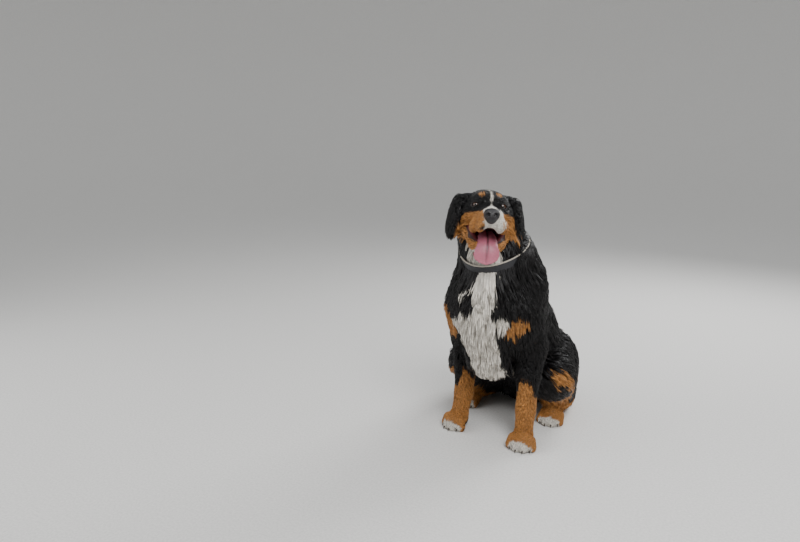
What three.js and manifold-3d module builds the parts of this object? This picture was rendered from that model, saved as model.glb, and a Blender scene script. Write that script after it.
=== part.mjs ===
// A life-size Bernese mountain dog, sitting, with its mouth open and its head turned to its left.
// Millimetres, +Z up. The dog faces -Y, its left side is +X, and it sits on the plane Z = 0.
// The flesh is one field: rounded bones and muscle masses that run smoothly into each other.
// Each of them carries the depth of its coat and the way its hair lies, and from these grow the locks.
import * as THREE from "three";
import { mergeVertices } from "three/addons/utils/BufferGeometryUtils.js";
import Module from "manifold-3d";

const wasm = await Module();
wasm.setup();

// Driving dimensions
const HEAD_TOP = 868; // crown of the seated dog above the ground
const SHOULDER_HALF = 92; // from the midline to the middle of a shoulder
const HEAD_YAW = 28; // degrees that the head turns to the dog's left
const HEAD_LIFT = 5; // degrees that the muzzle points up
const HEAD_ROLL = 4; // degrees that the head leans
const JAW_OPEN = 29; // degrees between the closed and the open jaw
const CORE_SHARE = 0.45; // how far the solid core reaches from the skin to the coat's tips
const GAP = 0.3; // left between two touching solids
const SEED = 20917;
const COLLAR_WIDTH = 28; // of the leather band
const COLLAR_THICK = 6;
const TRIM_RADIUS = 2.6;
const EYE_RADIUS = 11.5;
const LID_THICK = 3;
const CLAW_LENGTH = 15;

// Vectors and turns
const V = (x, y, z) => new THREE.Vector3(x, y, z);
const radians = THREE.MathUtils.degToRad;
const turned = (x, y, z) =>
  new THREE.Matrix4().makeRotationFromEuler(new THREE.Euler(radians(x), radians(y), radians(z), "ZXY"));

// The head's own frame: it faces -Y too, with its origin inside the skull, a little below the eyes
const HEAD_FRAME = turned(-HEAD_LIFT, HEAD_ROLL, HEAD_YAW).setPosition(-8, -152, HEAD_TOP - 66);
const JAW_HINGE = V(0, 4, -44);
const JAW_FRAME = HEAD_FRAME.clone()
  .multiply(new THREE.Matrix4().makeTranslation(JAW_HINGE.x, JAW_HINGE.y, JAW_HINGE.z))
  .multiply(turned(JAW_OPEN, 0, 0));
const WORLD = new THREE.Matrix4();
const LOCAL = V(0, 0, 0); // scratch vectors of the distance function
const ALONG = V(0, 0, 0);

// The smooth flesh
class Flesh {
  constructor() {
    this.parts = [];
    this.cuts = [];
  }
  // A tapered bone from a to b, in a frame. The hair lies from a to b unless another way is given.
  bone(a, b, ra, rb, { coat = 0, lie = null, blend = 20, frame = WORLD } = {}) {
    const p = a.clone().applyMatrix4(frame);
    const q = b.clone().applyMatrix4(frame);
    const way = (lie ? lie.clone().transformDirection(frame) : q.clone().sub(p)).normalize();
    const middle = p.clone().add(q).multiplyScalar(0.5);
    const reach = p.distanceTo(q) / 2 + Math.max(ra, rb);
    this.parts.push({ kind: "bone", p, q, ra, rb, coat, way, blend, middle, reach });
    return this;
  }
  // An ellipsoid of muscle round c, with its own turn inside the frame
  mass(c, r, { coat = 0, lie = V(0, 1, 0), blend = 20, turn = WORLD, frame = WORLD } = {}) {
    const middle = c.clone().applyMatrix4(frame);
    const inward = new THREE.Matrix4().multiplyMatrices(frame, turn).setPosition(middle).invert();
    const way = lie.clone().transformDirection(frame).normalize();
    this.parts.push({ kind: "mass", inward, r, coat, way, blend, middle, reach: Math.max(r.x, r.y, r.z) });
    return this;
  }
  // The same shapes taken away
  hollow(make) {
    const other = new Flesh();
    make(other);
    this.cuts.push(...other.parts);
    return this;
  }
  static distance(part, p) {
    if (part.kind === "mass") {
      const q = LOCAL.copy(p).applyMatrix4(part.inward);
      const k0 = Math.hypot(q.x / part.r.x, q.y / part.r.y, q.z / part.r.z);
      const k1 = Math.hypot(q.x / part.r.x ** 2, q.y / part.r.y ** 2, q.z / part.r.z ** 2);
      return k1 < 1e-9 ? -Math.min(part.r.x, part.r.y, part.r.z) : (k0 * (k0 - 1)) / k1;
    }
    const along = ALONG.copy(part.q).sub(part.p);
    const t = THREE.MathUtils.clamp(LOCAL.copy(p).sub(part.p).dot(along) / along.lengthSq(), 0, 1);
    return LOCAL.addScaledVector(along, -t).length() - (part.ra + (part.rb - part.ra) * t);
  }
  // Distance to the skin at p, with the coat's depth and the way its hair lies there
  at(p) {
    let d = 1e6;
    let coat = 0;
    const way = V(0, 0, 0);
    for (const part of this.parts) {
      const k = part.blend;
      if (p.distanceTo(part.middle) - part.reach > d + k + 5) continue;
      const e = Flesh.distance(part, p);
      const h = THREE.MathUtils.clamp(0.5 + (0.5 * (d - e)) / k, 0, 1);
      d = d + (e - d) * h - k * h * (1 - h);
      coat += (part.coat - coat) * h;
      way.lerp(part.way, h);
    }
    for (const part of this.cuts) {
      const k = part.blend;
      const e = -Flesh.distance(part, p);
      const h = THREE.MathUtils.clamp(0.5 + (0.5 * (e - d)) / k, 0, 1);
      d = d + (e - d) * h + k * h * (1 - h);
    }
    return { d, coat, way };
  }
  // Height above the skin, less the share of the coat that the solid core fills
  core(p) {
    const { d, coat } = this.at(p);
    return d - CORE_SHARE * coat;
  }
  // The way out of the skin at p
  normal(p, step = 2) {
    const d = (v) => this.at(p.clone().add(v)).d - this.at(p.clone().sub(v)).d;
    return V(d(V(step, 0, 0)), d(V(0, step, 0)), d(V(0, 0, step))).normalize();
  }
}

// A grid cell's corners and edges, the edges of each of its faces, and the four cells round an edge
const CORNERS = [[0, 0, 0], [1, 0, 0], [0, 1, 0], [1, 1, 0], [0, 0, 1], [1, 0, 1], [0, 1, 1], [1, 1, 1]];
const EDGES = [[0, 1], [2, 3], [4, 5], [6, 7], [0, 2], [1, 3], [4, 6], [5, 7], [0, 4], [1, 5], [2, 6], [3, 7]];
const FACES = [[0, 1, 4, 5], [2, 3, 6, 7], [0, 2, 8, 9], [1, 3, 10, 11], [4, 6, 8, 10], [5, 7, 9, 11]];
const AROUND = [
  { step: [1, 0, 0], cells: [[0, -1, -1, 3], [0, 0, -1, 2], [0, 0, 0, 0], [0, -1, 0, 1]] },
  { step: [0, 1, 0], cells: [[-1, 0, -1, 7], [-1, 0, 0, 5], [0, 0, 0, 4], [0, 0, -1, 6]] },
  { step: [0, 0, 1], cells: [[-1, -1, 0, 11], [0, -1, 0, 10], [0, 0, 0, 8], [-1, 0, 0, 9]] },
];
// The crossed edges of a cell, one list for each sheet of surface that passes through it
function sheetsOf(inside) {
  const crossed = EDGES.map(([a, b]) => inside[a] !== inside[b]);
  const owner = EDGES.map((_, e) => e);
  const root = (e) => (owner[e] === e ? e : root(owner[e]));
  const join = (a, b) => (owner[root(a)] = root(b));
  for (const face of FACES) {
    const cut = face.filter((e) => crossed[e]);
    if (cut.length === 2) join(...cut);
    if (cut.length === 4)
      for (const a of cut)
        for (const b of cut)
          if (a < b && EDGES[a].some((c) => inside[c] && EDGES[b].includes(c))) join(a, b);
  }
  const sheets = new Map();
  crossed.forEach((yes, e) => {
    if (yes) sheets.set(root(e), [...(sheets.get(root(e)) ?? []), e]);
  });
  return [...sheets.values()];
}

// Grid lines from the first mark to the last. Each mark is a place and the spacing wanted there.
function lines(marks) {
  const out = [marks[0][0]];
  while (out.at(-1) < marks.at(-1)[0]) {
    const x = out.at(-1);
    const next = marks.findIndex(([place]) => place > x);
    const [[from, first], [to, second]] = [marks[next - 1], marks[next]];
    out.push(x + THREE.MathUtils.mapLinear(x, from, to, first, second));
  }
  return out;
}
const evenGrid = (low, high, cell) =>
  ["x", "y", "z"].map((axis) => lines([[low[axis], cell], [high[axis], cell]]));

// A closed mesh of the places where level(p) is below zero, on a grid given by its lines.
// One vertex lies in each cell that the surface crosses, and one face round each crossed edge.
function meshOf(level, grid, frame = WORLD) {
  const n = grid.map((places) => places.length);
  const index = (i, j, k) => i + n[0] * (j + n[1] * k);
  const value = new Float32Array(n[0] * n[1] * n[2]);
  const corner = (i, j, k) => V(grid[0][i], grid[1][j], grid[2][k]);
  for (let k = 0; k < n[2]; k++)
    for (let j = 0; j < n[1]; j++)
      for (let i = 0; i < n[0]; i++) {
        const edge = i * j * k === 0 || i === n[0] - 1 || j === n[1] - 1 || k === n[2] - 1;
        value[index(i, j, k)] = edge ? 10 : level(corner(i, j, k).applyMatrix4(frame));
      }
  const points = [];
  const vertexOf = new Map(); // for each cell, the vertex of each of its crossed edges
  for (let k = 0; k < n[2] - 1; k++)
    for (let j = 0; j < n[1] - 1; j++)
      for (let i = 0; i < n[0] - 1; i++) {
        const v = CORNERS.map(([a, b, c]) => value[index(i + a, j + b, k + c)]);
        const inside = v.map((x) => x < 0);
        if (inside.every((x) => x === inside[0])) continue;
        const sheets = sheetsOf(inside);
        const own = new Array(EDGES.length).fill(-1);
        for (const sheet of sheets) {
          const sum = V(0, 0, 0);
          for (const e of sheet) {
            const [a, b] = EDGES[e];
            const t = v[a] / (v[a] - v[b]);
            sum.add(V(...CORNERS[a]).lerp(V(...CORNERS[b]), t));
            own[e] = points.length;
          }
          const low = corner(i, j, k);
          const size = corner(i + 1, j + 1, k + 1).sub(low);
          points.push(sum.divideScalar(sheet.length).multiply(size).add(low).applyMatrix4(frame));
        }
        vertexOf.set(index(i, j, k), own);
      }
  const faces = [];
  const quad = (a, b, c, d, flip) => {
    const near = points[a].distanceTo(points[c]) <= points[b].distanceTo(points[d]);
    const pair = near ? [[a, b, c], [a, c, d]] : [[b, c, d], [b, d, a]];
    pair.forEach((t) => faces.push(flip ? t.reverse() : t));
  };
  for (let k = 0; k < n[2] - 1; k++)
    for (let j = 0; j < n[1] - 1; j++)
      for (let i = 0; i < n[0] - 1; i++) {
        const here = value[index(i, j, k)] < 0;
        AROUND.forEach(({ step, cells }) => {
          if (here === value[index(i + step[0], j + step[1], k + step[2])] < 0) return;
          const ring = cells.map(([a, b, c, e]) => vertexOf.get(index(i + a, j + b, k + c))[e]);
          quad(...ring, !here);
        });
      }
  return { points, faces };
}

// Solids from meshes and three.js geometries
function solidFrom(points, faces) {
  const vertProperties = new Float32Array(points.length * 3);
  points.forEach((p, i) => vertProperties.set([p.x, p.y, p.z], i * 3));
  return new wasm.Manifold(new wasm.Mesh({ numProp: 3, vertProperties, triVerts: new Uint32Array(faces.flat()) }));
}
function solidOf(geometry, matrix = WORLD) {
  const bare = geometry.clone().applyMatrix4(matrix);
  bare.deleteAttribute("normal");
  bare.deleteAttribute("uv");
  const merged = mergeVertices(bare, 1e-3);
  const { array } = merged.attributes.position;
  return new wasm.Manifold(
    new wasm.Mesh({ numProp: 3, vertProperties: new Float32Array(array), triVerts: new Uint32Array(merged.index.array) }),
  );
}
// The same mesh with each vertex moved out along its normal, to cut room for what it touches
function grown({ points, faces }, by) {
  const out = points.map(() => V(0, 0, 0));
  for (const [a, b, c] of faces) {
    const n = points[b].clone().sub(points[a]).cross(points[c].clone().sub(points[a]));
    [a, b, c].forEach((i) => out[i].add(n));
  }
  return { points: points.map((p, i) => p.clone().addScaledVector(out[i].normalize(), by)), faces };
}
const meshSolid = ({ points, faces }) => solidFrom(points, faces);
function unite(solids) {
  return wasm.Manifold.union(solids);
}
// The largest closed surface of a solid, with any sealed hollow filled
function largest(solid) {
  const all = solid.decompose().filter((s) => s.volume() > 0);
  return all.reduce((best, s) => (s.volume() > best.volume() ? s : best));
}
// Space on the inner side of several planes, each given by its outward normal and a point on it
function region(planes, grow = 0) {
  let solid = solidOf(new THREE.BoxGeometry(3000, 3000, 3000));
  for (const [normal, point] of planes) {
    const n = normal.clone().normalize();
    solid = solid.trimByPlane([-n.x, -n.y, -n.z], -(n.dot(point) + grow));
  }
  return solid;
}

// Skeleton of the sitting dog. side is 1 on its left and -1 on its right.
const NECK_BASE = V(0, -38, 565);
const NECK_MIDDLE = V(-2, -82, 655);
const NECK_TOP = V(-6, -112, 745);
const SHOULDER = (side) => V(side * SHOULDER_HALF, -120, 455);
const ELBOW = (side) => (side > 0 ? V(126, -52, 330) : V(-116, -48, 330));
const WRIST = (side) => (side > 0 ? V(138, -112, 120) : V(-108, -88, 124));
const FORE_TOE = (side) => (side > 0 ? V(150, -196, 22) : V(-132, -158, 22));
const HIP = (side) => V(side * 92, 262, 178);
const KNEE = (side) => V(side * 160, 92, 188);
const HOCK = (side) => V(side * 152, 272, 42);
const HIND_TOE = (side) => V(side * 172, 52, 22);
const TAIL_PATH = [V(0, 372, 78), V(-18, 455, 50), V(-62, 535, 43), V(-128, 592, 41), V(-200, 616, 40)];
const DOWN = V(0, 0.15, -1);
const SIDES = [1, -1];

function addTrunk(f) {
  f.mass(V(0, -8, 425), V(126, 140, 178), { coat: 34, lie: V(0, 0.5, -0.85), blend: 30, turn: turned(33, 0, 0) });
  f.mass(V(0, 10, 560), V(82, 84, 68), { coat: 34, lie: V(0, 0.8, -0.6), blend: 45, turn: turned(30, 0, 0) });
  f.mass(V(0, -148, 425), V(70, 58, 84), { coat: 40, lie: DOWN, blend: 40 });
  f.mass(V(0, -88, 300), V(66, 70, 60), { coat: 42, lie: V(0, 0.35, -1), blend: 45 });
  f.mass(V(0, 112, 330), V(144, 120, 172), { coat: 32, lie: V(0, 0.5, -0.8), blend: 50, turn: turned(38, 0, 0) });
  f.mass(V(0, 238, 178), V(132, 114, 128), { coat: 32, lie: V(0, 0.6, -0.8), blend: 50 });
  f.mass(V(0, 300, 92), V(118, 78, 88), { coat: 26, lie: V(0, 0.5, -0.9), blend: 40 });
  for (const side of SIDES) {
    const lie = V(side * 0.1, 0.2, -1);
    f.mass(V(side * 88, -78, 462), V(48, 74, 112), { coat: 30, lie, blend: 40, turn: turned(-14, side * 8, 0) });
  }
}

function addNeck(f) {
  f.bone(NECK_TOP, NECK_MIDDLE, 78, 88, { coat: 26, blend: 40, lie: V(0, 0.3, -1) });
  f.bone(NECK_MIDDLE, NECK_BASE, 96, 120, { coat: 40, blend: 45, lie: V(0, 0.25, -1) });
  f.bone(V(0, -118, 640), V(0, -150, 500), 60, 72, { coat: 42, blend: 45, lie: DOWN });
}

function addForeleg(f, side) {
  f.bone(SHOULDER(side), ELBOW(side), 62, 45, { coat: 17, blend: 30, lie: DOWN });
  const halfway = ELBOW(side).lerp(WRIST(side), 0.45);
  f.bone(ELBOW(side), halfway, 43, 34, { coat: 12, blend: 22, lie: DOWN });
  f.bone(halfway, WRIST(side), 34, 27, { coat: 8, blend: 16, lie: DOWN });
}

function addForepaw(f, side) {
  const wrist = WRIST(side);
  const toe = FORE_TOE(side);
  const heel = wrist.clone().lerp(toe, 0.3).setZ(40);
  f.bone(wrist, heel, 27, 27, { coat: 6, blend: 14, lie: DOWN });
  addToes(f, heel, toe, 30, 15.5, 24);
}

// Four arched toes in a fan, the inner two ahead of the outer two, over the pad
function addToes(f, heel, toe, spread, radius, knuckle) {
  const ahead = toe.clone().sub(heel).setZ(0).normalize();
  const across = V(-ahead.y, ahead.x, 0);
  f.bone(heel.clone().setZ(30), heel.clone().addScaledVector(ahead, 30).setZ(27), 29, 31, { coat: 4, blend: 12, lie: ahead });
  for (const place of [-1.5, -0.5, 0.5, 1.5]) {
    const back = Math.abs(place) > 1 ? 22 : 5;
    const tip = toe.clone().addScaledVector(across, place * spread * 0.78).addScaledVector(ahead, -back).setZ(radius - 1);
    const arch = heel.clone().addScaledVector(ahead, 34 - back * 0.35).addScaledVector(across, place * spread * 0.66).setZ(knuckle + 8);
    f.bone(arch, tip, radius + 0.5, radius, { coat: 3, blend: 7, lie: ahead });
  }
}

function addHindleg(f, side) {
  const lie = V(0, 0.55, -0.85);
  f.mass(HIP(side).add(V(side * 12, -28, 4)), V(74, 122, 106), { coat: 34, lie, blend: 40, turn: turned(18, 0, side * 22) });
  f.bone(HIP(side), KNEE(side), 90, 62, { coat: 30, blend: 40, lie: V(0, 0.4, -0.9) });
  f.bone(KNEE(side).add(V(0, 6, -14)), HOCK(side).add(V(0, -26, 14)), 58, 38, { coat: 24, blend: 34, lie: V(0, 0.6, -0.8) });
}

function addHindpaw(f, side) {
  const heel = HIND_TOE(side).clone().lerp(HOCK(side), 0.38).setZ(34);
  f.bone(HOCK(side), heel, 29, 27, { coat: 7, blend: 18, lie: V(0, -1, 0) });
  addToes(f, heel, HIND_TOE(side), 28, 15, 20);
}

function addTail(f) {
  const radii = [40, 33, 28, 24, 19];
  TAIL_PATH.slice(1).forEach((point, i) => {
    f.bone(TAIL_PATH[i], point, radii[i], radii[i + 1], { coat: [26, 40, 44, 38][i], blend: 24 });
  });
}

const EYE = (side) => V(side * 42, -50, 19);

function addSkull(f) {
  const head = { frame: HEAD_FRAME };
  f.mass(V(0, 34, 8), V(73, 84, 56), { ...head, coat: 8, blend: 20 });
  f.mass(V(0, -22, 24), V(56, 44, 38), { ...head, coat: 6, blend: 24, lie: V(0, 1, 0.5) });
  f.bone(V(0, 70, -20), V(0, 120, -70), 66, 70, { ...head, coat: 20, blend: 40 });
  for (const side of SIDES) {
    f.mass(V(side * 31, -38, 31), V(22, 20, 15), { ...head, coat: 5, blend: 14, lie: V(side * 0.4, 1, 0.4) });
    f.mass(V(side * 51, -8, -12), V(29, 50, 30), { ...head, coat: 8, blend: 22, lie: V(side * 0.3, 1, -0.1) });
    f.mass(V(side * 60, 28, -50), V(30, 46, 46), { ...head, coat: 16, blend: 26, lie: V(side * 0.3, 1, -0.5) });
    f.mass(EYE(side), V(17, 14, 14), { ...head, coat: 2, blend: 10, lie: V(side * 0.3, 1, 0) });
  }
}

function addMuzzle(f) {
  const head = { frame: HEAD_FRAME };
  f.mass(V(0, -66, -14), V(45, 48, 28), { ...head, coat: 4, blend: 22, lie: V(0, 1, 0.3) });
  f.mass(V(0, -106, -15), V(36, 50, 26), { ...head, coat: 3, blend: 18, lie: V(0, 1, 0.2) });
  f.mass(V(0, -139, -21), V(33, 22, 27), { ...head, coat: 3, blend: 14, lie: V(0, 1, 0) });
  for (const side of SIDES) {
    const front = turned(0, side * -12, side * 8);
    const back = turned(-4, side * -16, side * 14);
    f.mass(V(side * 25, -122, -41), V(17, 37, 24), { ...head, coat: 3, blend: 12, lie: V(0, 1, -0.3), turn: front });
    f.mass(V(side * 41, -76, -46), V(15, 46, 23), { ...head, coat: 4, blend: 14, lie: V(0, 1, -0.3), turn: back });
  }
  f.hollow((h) => {
    h.mass(V(0, -88, -74), V(32, 92, 32), { ...head, blend: 8, turn: turned(4, 0, 0) });
    h.mass(V(0, -54, -80), V(60, 50, 29), { ...head, blend: 8 });
    h.bone(V(0, -176, -30), V(0, -158, -58), 1.5, 1.5, { ...head, blend: 4 });
  });
}

function addJaw(f) {
  const jaw = { frame: JAW_FRAME };
  for (const side of SIDES) {
    f.bone(V(side * 60, -8, -8), V(side * 38, -92, -14), 20, 15, { ...jaw, coat: 9, blend: 18, lie: V(side * 0.2, 1, -0.3) });
    f.bone(V(side * 38, -92, -14), V(side * 14, -132, -10), 15, 13, { ...jaw, coat: 5, blend: 14, lie: V(0, 1, -0.4) });
  }
  f.mass(V(0, -70, -24), V(40, 66, 16), { ...jaw, coat: 10, blend: 20, lie: V(0, 1, -0.2) });
  f.mass(V(0, -128, -16), V(24, 18, 15), { ...jaw, coat: 6, blend: 14, lie: V(0, 1, -0.4) });
  f.hollow((h) => {
    h.bone(V(0, -10, 20), V(0, -108, 12), 43, 26, { ...jaw, blend: 8 });
  });
}

// A folded flap of skin, hung from the crown and hollow towards the cheek
function addEar(f, side) {
  const head = { frame: HEAD_FRAME };
  const flap = turned(-6, side * -10, side * -14);
  f.mass(V(side * 71, 26, 31), V(32, 30, 15), { ...head, coat: 6, blend: 12, lie: V(side, 0.3, -0.6), turn: turned(0, side * 26, side * -16) });
  f.mass(V(side * 104, 22, -24), V(14, 44, 68), { ...head, coat: 7, blend: 16, lie: V(side * 0.1, 0.1, -1), turn: flap });
  f.hollow((h) => {
    h.mass(V(side * 89, 12, -30), V(12, 30, 50), { ...head, blend: 6, turn: flap });
  });
}

function addNose(f) {
  const head = { frame: HEAD_FRAME };
  f.mass(V(0, -156, -13), V(20, 17, 25), { ...head, blend: 6 });
  for (const side of SIDES) {
    f.mass(V(side * 13, -160, -7), V(12, 13, 16), { ...head, blend: 6 });
  }
  f.hollow((h) => {
    for (const side of SIDES) {
      h.mass(V(side * 11.5, -175, -8), V(5.5, 9, 6), { ...head, blend: 2 });
      h.bone(V(side * 14, -175, -11), V(side * 23, -165, -14), 2.6, 2.2, { ...head, blend: 2 });
    }
  });
}

// The tongue lies in the lower jaw, runs over its front teeth and hangs, widest near its tip
const TONGUE = [
  { at: V(0, -34, -66), half: 22, thick: 12, cup: 0.1 },
  { at: V(0, -72, -76), half: 29, thick: 12, cup: 0.15 },
  { at: V(0, -102, -90), half: 31, thick: 11, cup: 0.2 },
  { at: V(-1, -124, -106), half: 34, thick: 10, cup: 0.16 },
  { at: V(-2, -133, -128), half: 40, thick: 9, cup: 0.12 },
  { at: V(-3, -134, -148), half: 37, thick: 8, cup: 0.1 },
  { at: V(-3, -132, -160), half: 22, thick: 6, cup: 0.05 },
];
const TONGUE_AROUND = 12;
function tongueMesh() {
  const rings = TONGUE.map(({ at, half, thick, cup }, i) => {
    const before = TONGUE[Math.max(i - 1, 0)].at;
    const after = TONGUE[Math.min(i + 1, TONGUE.length - 1)].at;
    const along = after.clone().sub(before).normalize();
    const across = V(1, 0, 0);
    const up = along.clone().cross(across).negate();
    return Array.from({ length: TONGUE_AROUND }, (_, k) => {
      const turn = (k / TONGUE_AROUND) * 2 * Math.PI;
      const side = Math.cos(turn);
      const groove = Math.sin(turn) > 0 ? 0.45 * Math.exp(-((side / 0.22) ** 2)) : 0;
      const lift = Math.sin(turn) * (thick / 2) * (1 - groove) + cup * half * side * side;
      return at.clone().addScaledVector(across, side * half).addScaledVector(up, lift).applyMatrix4(HEAD_FRAME);
    });
  });
  const last = TONGUE.at(-1);
  return loft(rings, last.at.clone().add(V(0, 2, -7)).applyMatrix4(HEAD_FRAME));
}

// A tooth or claw: a curved cone of a few sides from base to tip
function spike(base, tip, radius, bow = V(0, 0, 0), sides = 5) {
  const along = tip.clone().sub(base);
  const aside = V(along.z, along.x, along.y).cross(along).normalize();
  const other = along.clone().cross(aside).normalize();
  const rings = [0, 0.5].map((t) =>
    Array.from({ length: sides }, (_, k) => {
      const turn = (k / sides) * 2 * Math.PI;
      const middle = base.clone().addScaledVector(along, t).addScaledVector(bow, 4 * t * (1 - t));
      const r = radius * (1 - 0.35 * t);
      return middle.addScaledVector(aside, r * Math.cos(turn)).addScaledVector(other, r * Math.sin(turn));
    }),
  );
  return meshSolid(loft(rings, tip));
}

// Random numbers from 0 to 1 that are the same on every run
function seeded(seed) {
  let state = seed;
  return () => {
    state = (state + 0x6d2b79f5) | 0;
    let t = Math.imul(state ^ (state >>> 15), 1 | state);
    t = (t + Math.imul(t ^ (t >>> 7), 61 | t)) ^ t;
    return ((t ^ (t >>> 14)) >>> 0) / 4294967296;
  };
}

// A closed mesh through rings of the same number of points, ending on a point when tip is given
function loft(rings, tip = null) {
  const count = rings[0].length;
  const points = rings.flat();
  const faces = [];
  for (let r = 0; r + 1 < rings.length; r++)
    for (let i = 0; i < count; i++) {
      const [a, b] = [r * count + i, r * count + ((i + 1) % count)];
      faces.push([a, b, b + count], [a, b + count, a + count]);
    }
  for (let i = 1; i + 1 < count; i++) faces.push([0, i + 1, i]);
  const last = (rings.length - 1) * count;
  if (tip) {
    points.push(tip);
    for (let i = 0; i < count; i++) faces.push([last + i, last + ((i + 1) % count), points.length - 1]);
  } else {
    for (let i = 1; i + 1 < count; i++) faces.push([last, last + i, last + i + 1]);
  }
  return outward({ points, faces });
}
// A ring of sections closed on itself
function hoop(rings) {
  const count = rings[0].length;
  const faces = [];
  for (let r = 0; r < rings.length; r++)
    for (let i = 0; i < count; i++) {
      const [a, b] = [r * count + i, r * count + ((i + 1) % count)];
      const [c, d] = [((r + 1) % rings.length) * count + i, ((r + 1) % rings.length) * count + ((i + 1) % count)];
      faces.push([a, b, d], [a, d, c]);
    }
  return outward({ points: rings.flat(), faces });
}
// The mesh with its faces turned so that they look out
function outward({ points, faces }) {
  const volume = faces.reduce((sum, [a, b, c]) => sum + points[a].dot(points[b].clone().cross(points[c])), 0);
  return { points, faces: volume < 0 ? faces.map(([a, b, c]) => [c, b, a]) : faces };
}

// One flat, tapered lock. It roots in the core at start, follows the lie of the coat over the skin
// and rises to the tips of the coat. Its section is a low ridge with two thin edges.
const LOCK_STATIONS = [
  { height: -0.32, width: 0.62, thick: 1.0 },
  { height: 0.3, width: 1.0, thick: 1.0 },
  { height: 0.72, width: 0.8, thick: 0.72 },
];
function lockAt(field, start, { length, width, thick, swing }) {
  let p = start.clone();
  const rings = [];
  const step = length / LOCK_STATIONS.length;
  let tip = null;
  for (let i = 0; i <= LOCK_STATIONS.length; i++) {
    const { d, coat, way } = field.at(p);
    const n = field.normal(p);
    const tangent = way.clone().addScaledVector(n, -way.dot(n)).normalize();
    const across = n.clone().cross(tangent);
    tangent.addScaledVector(across, swing * (i < 2 ? 1 : -0.6)).normalize();
    across.crossVectors(n, tangent);
    const station = LOCK_STATIONS[i];
    const share = station ? station.height : 1;
    const height = coat * (CORE_SHARE + (1 - CORE_SHARE) * share) - (i === 0 ? 5 : 0);
    const middle = p.clone().addScaledVector(n, height - d);
    middle.z = Math.max(middle.z, thick * 0.6);
    if (!station) tip = middle;
    else {
      const w = (width / 2) * station.width;
      const t = thick * station.thick;
      rings.push([
        middle.clone().addScaledVector(across, -w).addScaledVector(n, -t * 0.4),
        middle.clone().addScaledVector(across, w).addScaledVector(n, -t * 0.4),
        middle.clone().addScaledVector(n, t * 0.6),
      ]);
    }
    p.addScaledVector(tangent, step);
  }
  return meshSolid(loft(rings, tip));
}

// Locks spread evenly over a mesh of the core, no two roots nearer than spacing
function growLocks(field, { points, faces }, { seed, spacing, length, width, thick, from, wanted }) {
  const random = seeded(seed);
  const centres = faces.map(([a, b, c]) => points[a].clone().add(points[b]).add(points[c]).divideScalar(3));
  const order = centres.map((c) => [random(), c]).sort((x, y) => x[0] - y[0]);
  const roots = [];
  for (const [, c] of order) {
    const { coat } = field.at(c);
    if (coat < from || !wanted(c) || roots.some((r) => r.distanceTo(c) < spacing)) continue;
    roots.push(c);
  }
  return roots.map((c) => {
    const size = 0.85 + 0.3 * random();
    const swing = (random() - 0.5) * 0.5;
    return { root: c, solid: lockAt(field, c, { length: length * size, width: width * size, thick, swing }) };
  });
}

// The fields: the whole skin of the body, and those of the pieces that are meshed on their own
const fieldOf = (...makers) => {
  const f = new Flesh();
  makers.forEach((make) => make(f));
  return f;
};
const both = (make) => (f) => SIDES.forEach((side) => make(f, side));
const body = fieldOf(addTrunk, addNeck, addTail, both(addForeleg), both(addForepaw), both(addHindleg), both(addHindpaw));
const head = fieldOf(addNeck, addSkull, addMuzzle);
const jaw = fieldOf(addJaw);
const nose = fieldOf(addNose);

// How finely each piece is meshed
const BODY_CELL = 42;
const LEG_CELL = 30;
const PAW_CELL = 19;
const TAIL_CELL = 34;
const EAR_CELL = 18;
const NOSE_CELL = 8.5;
const headGrid = [
  lines([[-130, 24], [-60, 14], [60, 14], [130, 24]]),
  lines([[-185, 13], [-40, 15], [40, 34], [200, 38]]),
  lines([[-160, 26], [-60, 14], [40, 14], [90, 22]]),
];
const jawGrid = [
  lines([[-95, 16], [95, 16]]),
  lines([[-165, 14], [-60, 20], [35, 24]]),
  lines([[-60, 15], [40, 15]]),
];
const bodyMesh = meshOf((p) => body.core(p), evenGrid(V(-280, -270, -45), V(280, 720, 800), BODY_CELL));
const headMesh = meshOf((p) => head.core(p), headGrid, HEAD_FRAME);
const jawMesh = meshOf((p) => jaw.core(p), jawGrid, JAW_FRAME);
const noseMesh = meshOf((p) => nose.core(p), evenGrid(V(-40, -190, -52), V(40, -130, 24), NOSE_CELL), HEAD_FRAME);

// The collar: a band round the neck, pressed down to the core of the coat
const COLLAR_MIDDLE = V(-2, -83, 671);
const COLLAR_UP = V(-0.02, -0.4, 0.916).normalize();
const COLLAR_LEFT = V(1, 0, 0).addScaledVector(COLLAR_UP, -COLLAR_UP.x).normalize();
const COLLAR_BACK = COLLAR_UP.clone().cross(COLLAR_LEFT);
const aboveCollar = (p) => p.clone().sub(COLLAR_MIDDLE).dot(COLLAR_UP);
const COLLAR_AROUND = 20;
// The point at which the level of the neck's core is met, out from the collar's middle
function neckEdge(turn, rise) {
  const out = COLLAR_LEFT.clone().multiplyScalar(Math.cos(turn)).addScaledVector(COLLAR_BACK, Math.sin(turn));
  const start = COLLAR_MIDDLE.clone().addScaledVector(COLLAR_UP, rise);
  let [near, far] = [20, 220];
  for (let i = 0; i < 20; i++) {
    const middle = (near + far) / 2;
    if (body.core(start.clone().addScaledVector(out, middle)) < 0) near = middle;
    else far = middle;
  }
  return { edge: start.addScaledVector(out, near), out };
}
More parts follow.
